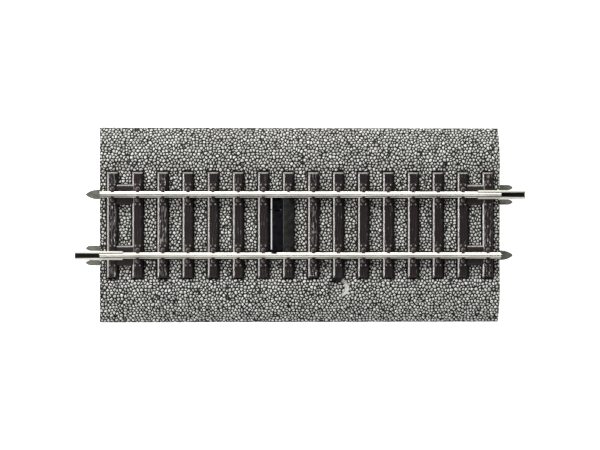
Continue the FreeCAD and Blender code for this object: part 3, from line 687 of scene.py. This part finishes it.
def lay_stones(bm, name, material, settings, underside):
    """Bend a slab of patches onto the bed, raise the stones, and make it a piece."""
    bmesh.ops.recalc_face_normals(bm, faces=bm.faces)
    mesh = bpy.data.meshes.new(name)
    bm.to_mesh(mesh)
    bm.free()
    flat = np.empty(len(mesh.vertices) * 3)
    mesh.vertices.foreach_get("co", flat)
    x, s, level = flat.reshape(-1, 3).T
    y, z, normal_y, normal_z = bed_surface(s)
    radius = np.hypot(x - sleeper_x(RECESS_SLEEPER), y - RECESS_Y)
    flare = (SHOULDER_Z - RECESS_FLOOR) / (RECESS_RADIUS - RECESS_FLOOR_RADIUS)
    dish = RECESS_FLOOR + flare * np.clip(radius - RECESS_FLOOR_RADIUS, 0, None)
    in_dish = dish < z
    # painted light in the dish: the right wall, facing the left lamp, is drawn lighter and the part by the
    # sleeper's end darker
    right_side = x - sleeper_x(RECESS_SLEEPER) > 0.45 * radius
    lit_wall = in_dish & (radius > RECESS_FLOOR_RADIUS - 0.1) & right_side
    height, tone = stones(x, s, settings.stone)
    height = height * np.clip((RIM_S - np.abs(s)) / 0.75, 0.04, 1)
    height = height * clearance(x, s)
    # painted shadow: stones in the dish near the sleeper's end are cut to 0.3 of their height, which also
    # draws them darker
    height = np.where(in_dish & (s > RECESS_Y + 1.5) & ~lit_wall, 0.3 * height, height)
    height = np.where(lit_wall, 0.25 * height, height)
    raised = 0.03 + settings.relief * height
    lowered = np.where(level < -0.5, 1.0, 0.0)
    lift = np.where(level < -0.5, -underside, raised)
    flat_bottom = np.minimum(z - underside, RECESS_FLOOR - 0.3)
    z = np.where(in_dish & (lowered == 0), dish, z)
    deep = (lowered == 1) & (np.abs(s) < CREST_Y + 4.2) & (np.abs(s) > DROP_END - 0.2)
    new_y = np.clip(y + normal_y * lift, -HALF_BED, HALF_BED)
    new_z = np.where(deep, flat_bottom, z + normal_z * lift)
    placed = np.stack([x, new_y, new_z], axis=1) * MM
    mesh.vertices.foreach_set("co", placed.ravel())
    # painted light: the lit wall gets a fixed mid stone_height, so it is drawn light grey as if lit by the
    # left lamp
    for label, values in (("stone_tone", tone), ("stone_height", np.where(lit_wall, 0.68, height))):
        attribute = mesh.attributes.new(label, "FLOAT", "POINT")
        attribute.data.foreach_set("value", values.astype(np.float32))
    mesh.update()
    return piece_with(mesh, name, material, "track", angle=180.0)


def crib_patches():
    """Ballast between the sleepers, clear of webs, end blocks and lever, as (x0, x1, y0, y1)."""
    half = SLEEPER_WIDTH / 2 + FIT / 2
    edge = HALF_LENGTH - 0.04
    reach = DROP_END
    spans = [(-edge, sleeper_x(1) - half, 0.0), (sleeper_x(SLEEPER_COUNT) + half, edge, 0.0)]
    for number in range(1, SLEEPER_COUNT):
        taken = BLOCK_WIDTH / 2 if number in (1, SLEEPER_COUNT - 1) else WEB_HALF
        spans.append((sleeper_x(number) + half, sleeper_x(number + 1) - half, taken + FIT / 2))
    patches = []
    for x0, x1, taken in spans:
        inner = RAIL_Y - taken
        middle_x1 = x1
        if x0 < WINDOW_LEFT < x1:
            middle_x1 = WINDOW_LEFT
        if taken:
            patches += [(x0, x1, -reach, -RAIL_Y - taken), (x0, x1, RAIL_Y + taken, reach),
                        (x0, middle_x1, -inner, inner)]
        else:
            patches.append((x0, x1, -reach, reach))
    return patches


class TRACK_OT_ballast(bpy.types.Operator):
    """Lay the moulded stones on the bed and finish its bare plastic"""
    bl_idname = "track.ballast"
    bl_label = "Ballast Bed"

    def execute(self, context):
        settings = context.scene.track_ballast
        stone = stone_material(settings)
        edge = HALF_LENGTH - 0.04
        step = settings.step
        for half, name in ((-1, "ballast_cribs_left"), (1, "ballast_cribs_right")):
            bm = bmesh.new()
            for x0, x1, y0, y1 in crib_patches():
                if (x0 + x1 > -0.1) == (half > 0):
                    stone_patch(bm, x0, x1, y0, y1, step)
            lay_stones(bm, name, stone, settings, 0.5)
        upper = CREST_Y + 4.1
        for side, name in ((-1, "front"), (1, "back")):
            bm = bmesh.new()
            for s0, s1 in ((DROP_END, CREST_Y), (CREST_Y, upper)):
                low, high = sorted((side * s0, side * s1))
                stone_patch(bm, -edge, edge, low, high, step)
            lay_stones(bm, "ballast_shoulder_" + name, stone, settings, 0.5)
            bm = bmesh.new()
            lower = np.linspace(upper, RIM_S, 4)
            for s0, s1 in zip(lower[:-1], lower[1:]):
                low, high = sorted((side * s0, side * s1))
                stone_patch(bm, -edge, edge, low, high, step)
            lay_stones(bm, "ballast_slope_" + name, stone, settings, 0.4)
        dress("ballast_bed", bed_material(settings))
        return {"FINISHED"}


# ---------------------------------------------------------------- sleepers

def grain_height(x, y, number):
    """Moulded grain of one sleeper, from -1 to 0: long wavy grooves and a few splits."""
    wave = 0.35 * np.sin(y * 0.45 + number * 2.1) + 0.15 * np.sin(y * 1.3 + number)
    across = x + 0.3 * wave
    lines = np.zeros_like(x)
    for order, (pitch, share) in enumerate(((0.75, 0.45), (0.38, 0.35), (0.21, 0.2))):
        phase = chance(np.floor(y / (2.4 + order)), float(number), 11 + order)
        next_phase = chance(np.floor(y / (2.4 + order)) + 1, float(number), 11 + order)
        along = y / (2.4 + order) - np.floor(y / (2.4 + order))
        blend = phase + (next_phase - phase) * along * along * (3 - 2 * along)
        lines += share * np.abs(np.sin(math.pi * across / pitch + 2.2 * blend + order))
    return -np.clip(1.15 - 1.5 * lines, 0, 1)


def sleeper_body(bm, number, y0, y1, edge, depth):
    """One grained sleeper between y0 and y1: fine top, sloped and rounded edge, plain sides."""
    x = sleeper_x(number)
    half = SLEEPER_WIDTH / 2 - edge
    rows = max(8, round((y1 - y0) / 0.22))
    top = bmesh.ops.create_grid(bm, x_segments=16, y_segments=rows, size=0.5)["verts"]
    bmesh.ops.scale(bm, vec=(2 * half, y1 - y0 - 2 * edge, 1), verts=top)
    bmesh.ops.translate(bm, vec=(x, (y0 + y1) / 2, SLEEPER_Z), verts=top)
    border = list({item for vert in top for item in vert.link_edges if item.is_boundary})
    centre = Vector((x, (y0 + y1) / 2, 0))
    reach = Vector((half, (y1 - y0) / 2 - edge))
    worn_and_lit = bm.verts.layers.float["wear_and_highlight"]
    for out, down, wear in EDGE_STEPS:
        ring = bmesh.ops.extrude_edge_only(bm, edges=border)["geom"]
        border = [item for item in ring if isinstance(item, bmesh.types.BMEdge)]
        for vert in (item for item in ring if isinstance(item, bmesh.types.BMVert)):
            offset = vert.co - centre
            if abs(offset.x) > reach.x - 0.001:
                vert.co.x = centre.x + math.copysign(half + edge * out, offset.x)
            if abs(offset.y) > reach.y - 0.001:
                vert.co.y = centre.y + math.copysign(reach.y + edge * out, offset.y)
            vert.co.z = SLEEPER_Z - edge * down
            # painted highlight: the left (-X) and back (+Y) edges face the lamps and get the full wear mark,
            # the others 0.15 of it
            lit_side = offset.x < 0.001 - reach.x or offset.y > reach.y - 0.001
            vert[worn_and_lit] = wear if lit_side else 0.15 * wear
    skirt = bmesh.ops.extrude_edge_only(bm, edges=border)["geom"]
    for vert in (item for item in skirt if isinstance(item, bmesh.types.BMVert)):
        vert.co.z = SLEEPER_UNDER
    bmesh.ops.edgeloop_fill(bm, edges=[item for item in skirt if isinstance(item, bmesh.types.BMEdge)])
    place = np.array([vert.co for vert in top])
    grooves = depth * grain_height(place[:, 0] - x, place[:, 1], number)
    fade = np.clip((reach.y + edge - np.abs(place[:, 1] - centre.y)) / 0.4, 0.4, 1)
    # painted highlight: random light streaks on the deepest-grained sleepers stand in for glints off the
    # grain
    streaks = chance(np.floor(place[:, 0] / 0.28), np.floor(place[:, 1] / 0.8), number) > 0.86
    for vert, dip, streak in zip(top, grooves * fade, streaks):
        vert.co.z += dip
        vert[worn_and_lit] = 0.8 if streak and number in STRONG_GRAIN else 0.0


# shares of the edge width: how far out, how far down, and how worn (the wear mark also paints a highlight on
# the lit edges)
EDGE_STEPS = ((0.04, 0.01, 0.6), (0.86, 0.46, 1.0), (0.96, 0.6, 0.8), (1.0, 0.85, 0.1))


def round_head(bm, x, y, z, radius, height, top_wear_and_highlight=0.0):
    """Round head: short cylinder with a soft top edge, whose rim is marked rubbed and lit (painted
    highlight) where the mesh keeps the wear layer.
    """
    head = bmesh.ops.create_cone(bm, cap_ends=True, segments=16,
                                 radius1=radius, radius2=radius, depth=height)
    bmesh.ops.translate(bm, vec=(x, y, z + height / 2), verts=head["verts"])
    rim = [edge for edge in {e for v in head["verts"] for e in v.link_edges}
           if min(vert.co.z for vert in edge.verts) > z + height - 0.001]
    made = round_edges(bm, rim, min(radius, height) * 0.45, 2)
    worn_and_lit = bm.verts.layers.float.get("wear_and_highlight")
    if worn_and_lit:
        for vert in made:
            flat = vert.co.z > z + height - 0.004
            vert[worn_and_lit] = top_wear_and_highlight if flat else 0.9


def chair_half(bm, x, rail_y, side, start, clipped):
    """One side of a rail's seat: tie plate, two bolt heads, and a clip on its round boss."""
    y0, y1 = sorted((rail_y + side * start, rail_y + side * PLATE_REACH))
    block(bm, (x - 1.0, y0, SLEEPER_Z - 0.15), (x + 1.0, y1, PLATE_TOP), 0.08)
    # painted highlight: bolt heads are marked worn and lit all over, so they are drawn as light dots
    for across in SIDES:
        round_head(bm, x + across * BOLT_APART, rail_y + side * BOLT_REACH,
                   PLATE_TOP - 0.05, 0.24, 0.3, 0.9)
    if clipped:
        round_head(bm, x, rail_y + side * (CLIP_REACH + 0.07), PLATE_TOP - 0.05, 0.6, 0.54)
        round_head(bm, x, rail_y + side * (CLIP_REACH + 0.07), PLATE_TOP + 0.4, 0.26, 0.15)
        foot = HALF_FOOT + 0.03
        outline = [(foot, PLATE_TOP - 0.1), (foot, PLATE_TOP + 0.29), (HALF_FOOT - 0.14, PLATE_TOP + 0.36),
                   (HALF_FOOT - 0.05, CLIP_TOP), (foot + 0.3, CLIP_TOP), (foot + 0.6, PLATE_TOP - 0.1)]
        placed = [(rail_y + side * a, b) for a, b in outline]
        made = outline_bar(bm, placed, "x", x - 0.45, x + 0.45)
        edges = [edge for edge in {e for v in made for e in v.link_edges} if edge.calc_length() > 0.8]
        round_edges(bm, edges, 0.07)


def end_block(bm, number, y, edge):
    """Block that joins two sleepers at the end of the track, its long edges sloped like theirs."""
    half = BLOCK_WIDTH / 2
    side = [(half, SLEEPER_UNDER + 0.2), (half, BLOCK_Z - 0.7 * edge),
            (half - 0.2 * edge, BLOCK_Z - 0.4 * edge), (half - 0.95 * edge, BLOCK_Z - 0.01),
            (half - edge, BLOCK_Z)]
    points = [(y + a, b) for a, b in side] + [(y - a, b) for a, b in reversed(side)]
    made = outline_bar(bm, points, "x", sleeper_x(number) + 1.0, sleeper_x(number + 1) - 1.0)
    worn_and_lit = bm.verts.layers.float["wear_and_highlight"]
    # painted highlight: the sloped edge facing the back lamp (+Y) is marked lighter than the front one
    for vert in made:
        if BLOCK_Z - 0.5 * edge < vert.co.z < BLOCK_Z - 0.005:
            vert[worn_and_lit] = 0.8 if vert.co.y > y else 0.3


def web_strips():
    """Webs under the back rail as (x0, x1, y0, y1); the inner side stops at the lever's window."""
    first, last = sleeper_x(1), sleeper_x(SLEEPER_COUNT)
    inner = RAIL_Y - WEB_HALF
    foot = RAIL_Y - HALF_FOOT
    return [(first, last, foot, RAIL_Y + WEB_HALF), (first, WINDOW_LEFT - FIT, inner, foot + 0.2),
            (sleeper_x(LEVER_SLEEPER) + SLEEPER_WIDTH / 2 + 0.2, last, inner, foot + 0.2)]


class TRACK_OT_sleepers(bpy.types.Operator):
    """Build the grained sleepers with their chairs, webs and end blocks"""
    bl_idname = "track.sleepers"
    bl_label = "Sleepers"

    def execute(self, context):
        settings = context.scene.track_sleepers
        wood = wood_material("sleeper_wood", settings.light, settings.dark, settings.wear, 0.3)
        bm = bmesh.new()
        bm.verts.layers.float.new("wear_and_highlight")
        for number in range(1, SLEEPER_COUNT + 1):
            depth = settings.grain * (2.6 if number in STRONG_GRAIN else 1.0)
            spans = [(-HALF_SLEEPER, HALF_SLEEPER)]
            if number == LEVER_SLEEPER:
                spans = [(-HALF_SLEEPER, -WINDOW_HALF), (WINDOW_HALF, HALF_SLEEPER)]
            for y0, y1 in spans:
                sleeper_body(bm, number, y0, y1, settings.edge, depth)
            for rail_side in SIDES:
                under_joiner = (number == 1 and rail_side < 0) or (number == SLEEPER_COUNT and rail_side > 0)
                start = 1.35 if under_joiner else 0.0
                for side in SIDES:
                    if number == LEVER_SLEEPER and side != rail_side:
                        continue
                    chair_half(bm, sleeper_x(number), rail_side * RAIL_Y, side, start, not under_joiner)
        for side in SIDES:
            y = side * RAIL_Y
            for x0, x1, y0, y1 in web_strips():
                low, high = sorted((side * y0, side * y1))
                block(bm, (x0, low, SLEEPER_UNDER + 0.2), (x1, high, WEB_Z), 0.1)
            for number in (1, SLEEPER_COUNT - 1):
                end_block(bm, number, y, settings.edge)
        piece_from(bm, "sleepers_with_chairs", wood, "track", ("sleeper_grid",), 50.0)
        return {"FINISHED"}


# ---------------------------------------------------------------- rails and joiners

def rail_outline(side, crown):
    """Section of a rail in (y, z): foot, web and a domed head."""
    half_head = 0.475
    half_web = 0.25
    corner = 0.13
    base = RAIL_LOW.z
    top = RAIL_HIGH.z
    right = [(HALF_FOOT - 0.05, 0), (HALF_FOOT, 0.06), (HALF_FOOT - 0.04, 0.25), (0.65, 0.33), (0.63, 0.335),
             (half_web + 0.12, 0.43),
             (half_web, 0.6), (half_web, 1.2), (half_web + 0.06, 1.33), (half_head - 0.04, 1.4),
             (half_head, 1.5)]
    right = [(a, base + b) for a, b in right]
    for turn in range(0, 91, 18):
        angle = math.radians(turn)
        right.append((half_head - corner + corner * math.cos(angle),
                      top - crown - corner + corner * math.sin(angle)))
    for share in (0.75, 0.5, 0.25):
        right.append(((half_head - corner) * share, top - crown * share * share))
    middle = [(0.0, top)]
    points = right + middle + [(-a, b) for a, b in reversed(right)]
    return [(side * RAIL_Y + a, b) for a, b in points]


class TRACK_OT_rails(bpy.types.Operator):
    """Draw the two rails and fold the two joiners"""
    bl_idname = "track.rails"
    bl_label = "Rails and Joiners"

    def execute(self, context):
        settings = context.scene.track_rails
        metal = metal_material("nickel_silver", settings.metal, settings.roughness, "painted_shade")
        for side, name, node in ((-1, "front_rail_bar", "rail_front"), (1, "back_rail_bar", "rail_back")):
            bm = bmesh.new()
            shade_layer = bm.verts.layers.float.new("painted_shade")
            # painted shade: the foot strip beside the web, under the head, is marked to be drawn near black,
            # standing in for the head's shadow on the foot
            for vert in outline_bar(bm, rail_outline(side, settings.crown), "x", -HALF_LENGTH, HALF_LENGTH):
                away = side * RAIL_Y - vert.co.y
                sheltered = 0 < away < 0.64 and RAIL_LOW.z + 0.2 < vert.co.z < RAIL_LOW.z + 1.35
                vert[shade_layer] = 0.9 if sheltered else 0.0
            piece_from(bm, name, metal, "track", (node,), 30.0)
        sheet_metal = metal_material("joiner_sheet", [1.28 * c for c in settings.metal], 0.4, "painted_shade", 0.35)
        shoes = ((-1, "left_joiner_shoe", "joiner_left"), (1, "right_joiner_shoe", "joiner_right"))
        for side, name, node in shoes:
            bm = bmesh.new()
            joiner_shoe(bm, side)
            piece_from(bm, name, sheet_metal, "track", (node,), 40.0)
        return {"FINISHED"}


def joiner_shoe(bm, side):
    """Folded sheet with two lips over the rail foot, rounded outside."""
    half = (JOINER_HIGH.y - JOINER_LOW.y) / 2
    sheet = 0.25
    slot = 0.38
    base = JOINER_LOW.z
    lip = JOINER_HIGH.z - sheet
    bend = 0.22
    outer = []
    for centre_z, first in ((base + bend, -90), (lip + sheet - bend, 0)):
        for turn in range(first, first + 91, 30):
            angle = math.radians(turn)
            outer.append((half - bend + bend * math.cos(angle), centre_z + bend * math.sin(angle)))
    inner = [(0.64, lip + sheet), (0.62, lip + sheet), (slot, lip + sheet), (slot, lip),
             (half - sheet, lip), (half - sheet, base + sheet)]
    right = outer + inner
    points = right + [(-a, b) for a, b in reversed(right)]
    placed = [(side * RAIL_Y + a, b) for a, b in points]
    start, end = sorted((side * JOINER_LOW.x, side * JOINER_HIGH.x))
    shade_layer = bm.verts.layers.float.new("painted_shade")
    made = outline_bar(bm, placed, "x", start, end)
    # painted shade: the inside of the joiner, between and under the lips, is marked to be drawn near black,
    # standing in for the shade in the slot
    for vert in made:
        away = abs(vert.co.y - side * RAIL_Y)
        inside = away < 0.63 or (away < half - sheet + 0.01 and vert.co.z < lip + 0.01)
        vert[shade_layer] = 1.0 if inside else 0.0
    flare = [vert for vert in made if abs(abs(vert.co.x) - JOINER_HIGH.x) < 0.01 and vert.co.z > lip - 0.01]
    for vert in flare:
        away = vert.co.y - side * RAIL_Y
        if abs(away) < half - 0.4:
            vert.co.y += math.copysign(0.08, away)


# ---------------------------------------------------------------- contact unit

def lever_shape(bm, edge):
    """Bar, ramped nose and narrower tail block of the lever."""
    left, right = LEVER_LOW.x, LEVER_HIGH.x
    top = SLEEPER_Z
    pivot_y = (AXLE_LOW.y + AXLE_HIGH.y) / 2
    pivot_z = (AXLE_LOW.z + AXLE_HIGH.z) / 2
    tail_y = pivot_y - 1.6
    front = -(RAIL_Y - HALF_FOOT - 0.2)
    slope = [(0, 0.32), (0.05, 0.2), (edge, 0)]
    outline = [(left, top - 1.8), (right, top - 1.8)] + [(right - a, top - b) for a, b in slope]
    outline += [(left + a, top - b) for a, b in reversed(slope)]
    made = outline_bar(bm, outline, "y", front, tail_y)
    edges = {e for v in made for e in v.link_edges}
    ends = [e for e in edges if abs(e.verts[0].co.y - e.verts[1].co.y) < 0.001]
    round_edges(bm, ends, 0.12)
    block(bm, (left + 0.7, tail_y - 0.6, pivot_z - 0.9), (right - 0.7, LEVER_HIGH.y, top), 0.12, 2)
    middle = left + 0.95
    nose_top = LEVER_HIGH.z
    outline = [(left, top - 0.6), (left + 1.9, top - 0.6), (left + 1.9, top), (middle + 0.65, nose_top),
               (middle - 0.65, nose_top), (left, top)]
    made = outline_bar(bm, outline, "y", front, front + 0.65)
    round_edges(bm, list({e for v in made for e in v.link_edges}), 0.1)
    low = LEVER_LOW.y
    lip_z = nose_top - 0.45
    spread_low = 0.65 + 0.3 * 0.225
    outline = [(middle - spread_low, lip_z), (middle + spread_low, lip_z), (middle + 0.65, nose_top),
               (middle - 0.65, nose_top)]
    made = outline_bar(bm, outline, "y", low, front + 0.3)
    round_edges(bm, list({e for v in made for e in v.link_edges}), 0.08)
    mid_x = (left + right) / 2
    block(bm, (mid_x - 0.35, -4.85, 4.61), (mid_x + 0.35, -4.15, top - 1.6), 0.06)


def cheek_caps(bm, edge):
    """Glossy skins over the two cheeks that hold the lever's axle."""
    top = SLEEPER_Z + 0.01
    back = HOUSING_HALF + 0.01
    front = (AXLE_LOW.y + AXLE_HIGH.y) / 2 - 1.51
    left, right = LEVER_LOW.x - 0.01, LEVER_LOW.x + 0.61
    crest = top + 0.2
    outline = [(left, top - 1.6), (right, top - 1.6), (right, crest), (left + edge, crest),
               (left + 0.05, top), (left, top - 0.12)]
    outline_bar(bm, outline, "y", front, back)
    block(bm, (LEVER_HIGH.x - 0.61, front, top - 1.6), (LEVER_HIGH.x + 0.05, back, top), 0.06)


class TRACK_OT_contact(bpy.types.Operator):
    """Build the contact lever and finish its housing, axle, leaves and screws"""
    bl_idname = "track.contact"
    bl_label = "Contact Unit"

    def execute(self, context):
        settings = context.scene.track_contact
        gloss = plastic_material("lever_gloss", settings.lever, 0.12, 0.22, 0.006)
        bm = bmesh.new()
        lever_shape(bm, settings.edge)
        piece_from(bm, "rocking_lever", gloss, "lever", ("contact_lever",), 20.0)
        matt = plastic_material("housing_black", settings.housing, 0.38, 0.55, 0.03)
        bm = bmesh.new()
        x = sleeper_x(LEVER_SLEEPER)
        half = SLEEPER_WIDTH / 2 + 0.01
        block(bm, (x - half, -HOUSING_HALF - 0.01, SLEEPER_Z - 0.7),
              (x + half, HOUSING_HALF + 0.01, SLEEPER_Z + 0.03), 0.22, 3)
        for side in SIDES:
            y0, y1 = sorted((side * (RAIL_Y - PLATE_REACH - 0.02), side * (HOUSING_HALF + 0.01)))
            block(bm, (x - 1.02, y0, SLEEPER_Z - 0.1), (x + 1.02, y1, PLATE_TOP + 0.02), 0.09)
            round_head(bm, x, side * (RAIL_Y - CLIP_REACH - 0.1), PLATE_TOP - 0.05, 0.58, 0.3)
            for across in SIDES:
                round_head(bm, x + across * BOLT_APART, side * (RAIL_Y - BOLT_REACH),
                           PLATE_TOP - 0.05, 0.26, 0.32)
        piece_from(bm, "housing_sleeper_cap", matt, "track", (), 40.0)
        bm = bmesh.new()
        cheek_caps(bm, settings.edge)
        piece_from(bm, "pivot_cheek_caps", gloss, "track", (), 20.0)
        for node in ("switch_housing", "housing_cover"):
            dress(node, matt)
        steel = metal_material("bright_steel", (0.56, 0.57, 0.58), 0.28)
        for node in ("housing_screws", "lever_axle"):
            dress(node, steel)
        bronze = metal_material("spring_bronze", (0.62, 0.40, 0.20), 0.3)
        for node in ("moving_leaf", "fixed_leaf", "leaf_terminal"):
            dress(node, bronze)
        silver = metal_material("contact_silver", (0.82, 0.81, 0.77), 0.22)
        for node in ("moving_contact_point", "fixed_contact_point"):
            dress(node, silver)
        return {"FINISHED"}


# ---------------------------------------------------------------- stage

def softbox(name, place, size, power):
    """Rectangular area light turned towards the middle of the track, in metres."""
    light = bpy.data.lights.new(name, "AREA")
    light.shape = "RECTANGLE"
    light.size, light.size_y = size
    light.energy = power
    light.color = (1.0, 0.995, 0.98)
    lamp = bpy.data.objects.new(name, light)
    lamp.location = place
    lamp.rotation_mode = "QUATERNION"
    lamp.rotation_quaternion = (-Vector(place)).to_track_quat("-Z", "Y")
    bpy.context.scene.collection.objects.link(lamp)


class TRACK_OT_stage(bpy.types.Operator):
    """Set the floor, lights and camera"""
    bl_idname = "track.stage"
    bl_label = "Stage"

    def execute(self, context):
        settings = context.scene.track_stage
        scene = context.scene
        bm = bmesh.new()
        bmesh.ops.create_grid(bm, x_segments=4, y_segments=4, size=4.0)
        mesh = bpy.data.meshes.new("floor")
        bm.to_mesh(mesh)
        bm.free()
        mesh.materials.append(floor_material(tuple(settings.floor), settings.glow))
        floor = bpy.data.objects.new("floor", mesh)
        scene.collection.objects.link(floor)
        softbox("key_left", (-0.737, 0.0, 0.516), (0.36, 0.36), settings.key)
        softbox("key_back", (0.0, 0.737, 0.516), (0.7, 0.36), settings.back)
        softbox("fill_front", (0.0, -0.6, 0.6), (0.9, 0.4), settings.fill)
        world = bpy.data.worlds.new("room")
        world.use_nodes = True
        world.node_tree.nodes["Background"].inputs["Color"].default_value = (0.95, 0.97, 1.0, 1)
        world.node_tree.nodes["Background"].inputs["Strength"].default_value = settings.sky
        scene.world = world
        camera = bpy.data.cameras.new("camera")
        camera.sensor_width = 36.0
        camera.lens = 177.0
        camera.clip_start = 0.01
        camera.clip_end = 20.0
        eye = bpy.data.objects.new("camera", camera)
        place = Vector((-0.057, 0.0, 0.85))
        back = (place - Vector((0.0, 0.0, 0.003))).normalized()
        right = Vector((0, 1, 0)).cross(back).normalized()
        turn = Matrix((right, back.cross(right), back)).transposed()
        eye.matrix_world = Matrix.Translation(place) @ turn.to_4x4()
        scene.collection.objects.link(eye)
        scene.camera = eye
        scene.view_settings.view_transform = "Standard"
        return {"FINISHED"}


# ---------------------------------------------------------------- panel and registration

STEPS = (
    TRACK_OT_ballast,
    TRACK_OT_sleepers,
    TRACK_OT_rails,
    TRACK_OT_contact,
    TRACK_OT_stage,
)

SETTINGS = (
    ("track_ballast", BallastSettings),
    ("track_sleepers", SleeperSettings),
    ("track_rails", RailSettings),
    ("track_contact", ContactSettings),
    ("track_stage", StageSettings),
)


class TRACK_PT_panel(bpy.types.Panel):
    """Lists the steps that build the track section"""
    bl_idname = "TRACK_PT_panel"
    bl_label = "Track Section"
    bl_space_type = "VIEW_3D"
    bl_region_type = "UI"
    bl_category = "Track"

    def draw(self, context):
        for (name, group), step in zip(SETTINGS, STEPS):
            box = self.layout.box()
            box.operator(step.bl_idname)
            for key in group.__annotations__:
                box.prop(getattr(context.scene, name), key)


def register():
    """Register the settings, operators and panel."""
    for name, group in SETTINGS:
        bpy.utils.register_class(group)
        setattr(bpy.types.Scene, name, bpy.props.PointerProperty(type=group))
    for step in STEPS:
        bpy.utils.register_class(step)
    bpy.utils.register_class(TRACK_PT_panel)


def unregister():
    """Remove the settings, operators and panel."""
    bpy.utils.unregister_class(TRACK_PT_panel)
    for step in reversed(STEPS):
        bpy.utils.unregister_class(step)
    for name, group in reversed(SETTINGS):
        delattr(bpy.types.Scene, name)
        bpy.utils.unregister_class(group)


def main():
    """Build every piece and the stage."""
    register()
    bpy.ops.track.ballast()
    bpy.ops.track.sleepers()
    bpy.ops.track.rails()
    bpy.ops.track.contact()
    bpy.ops.track.stage()


if __name__ == "__main__":
    main()
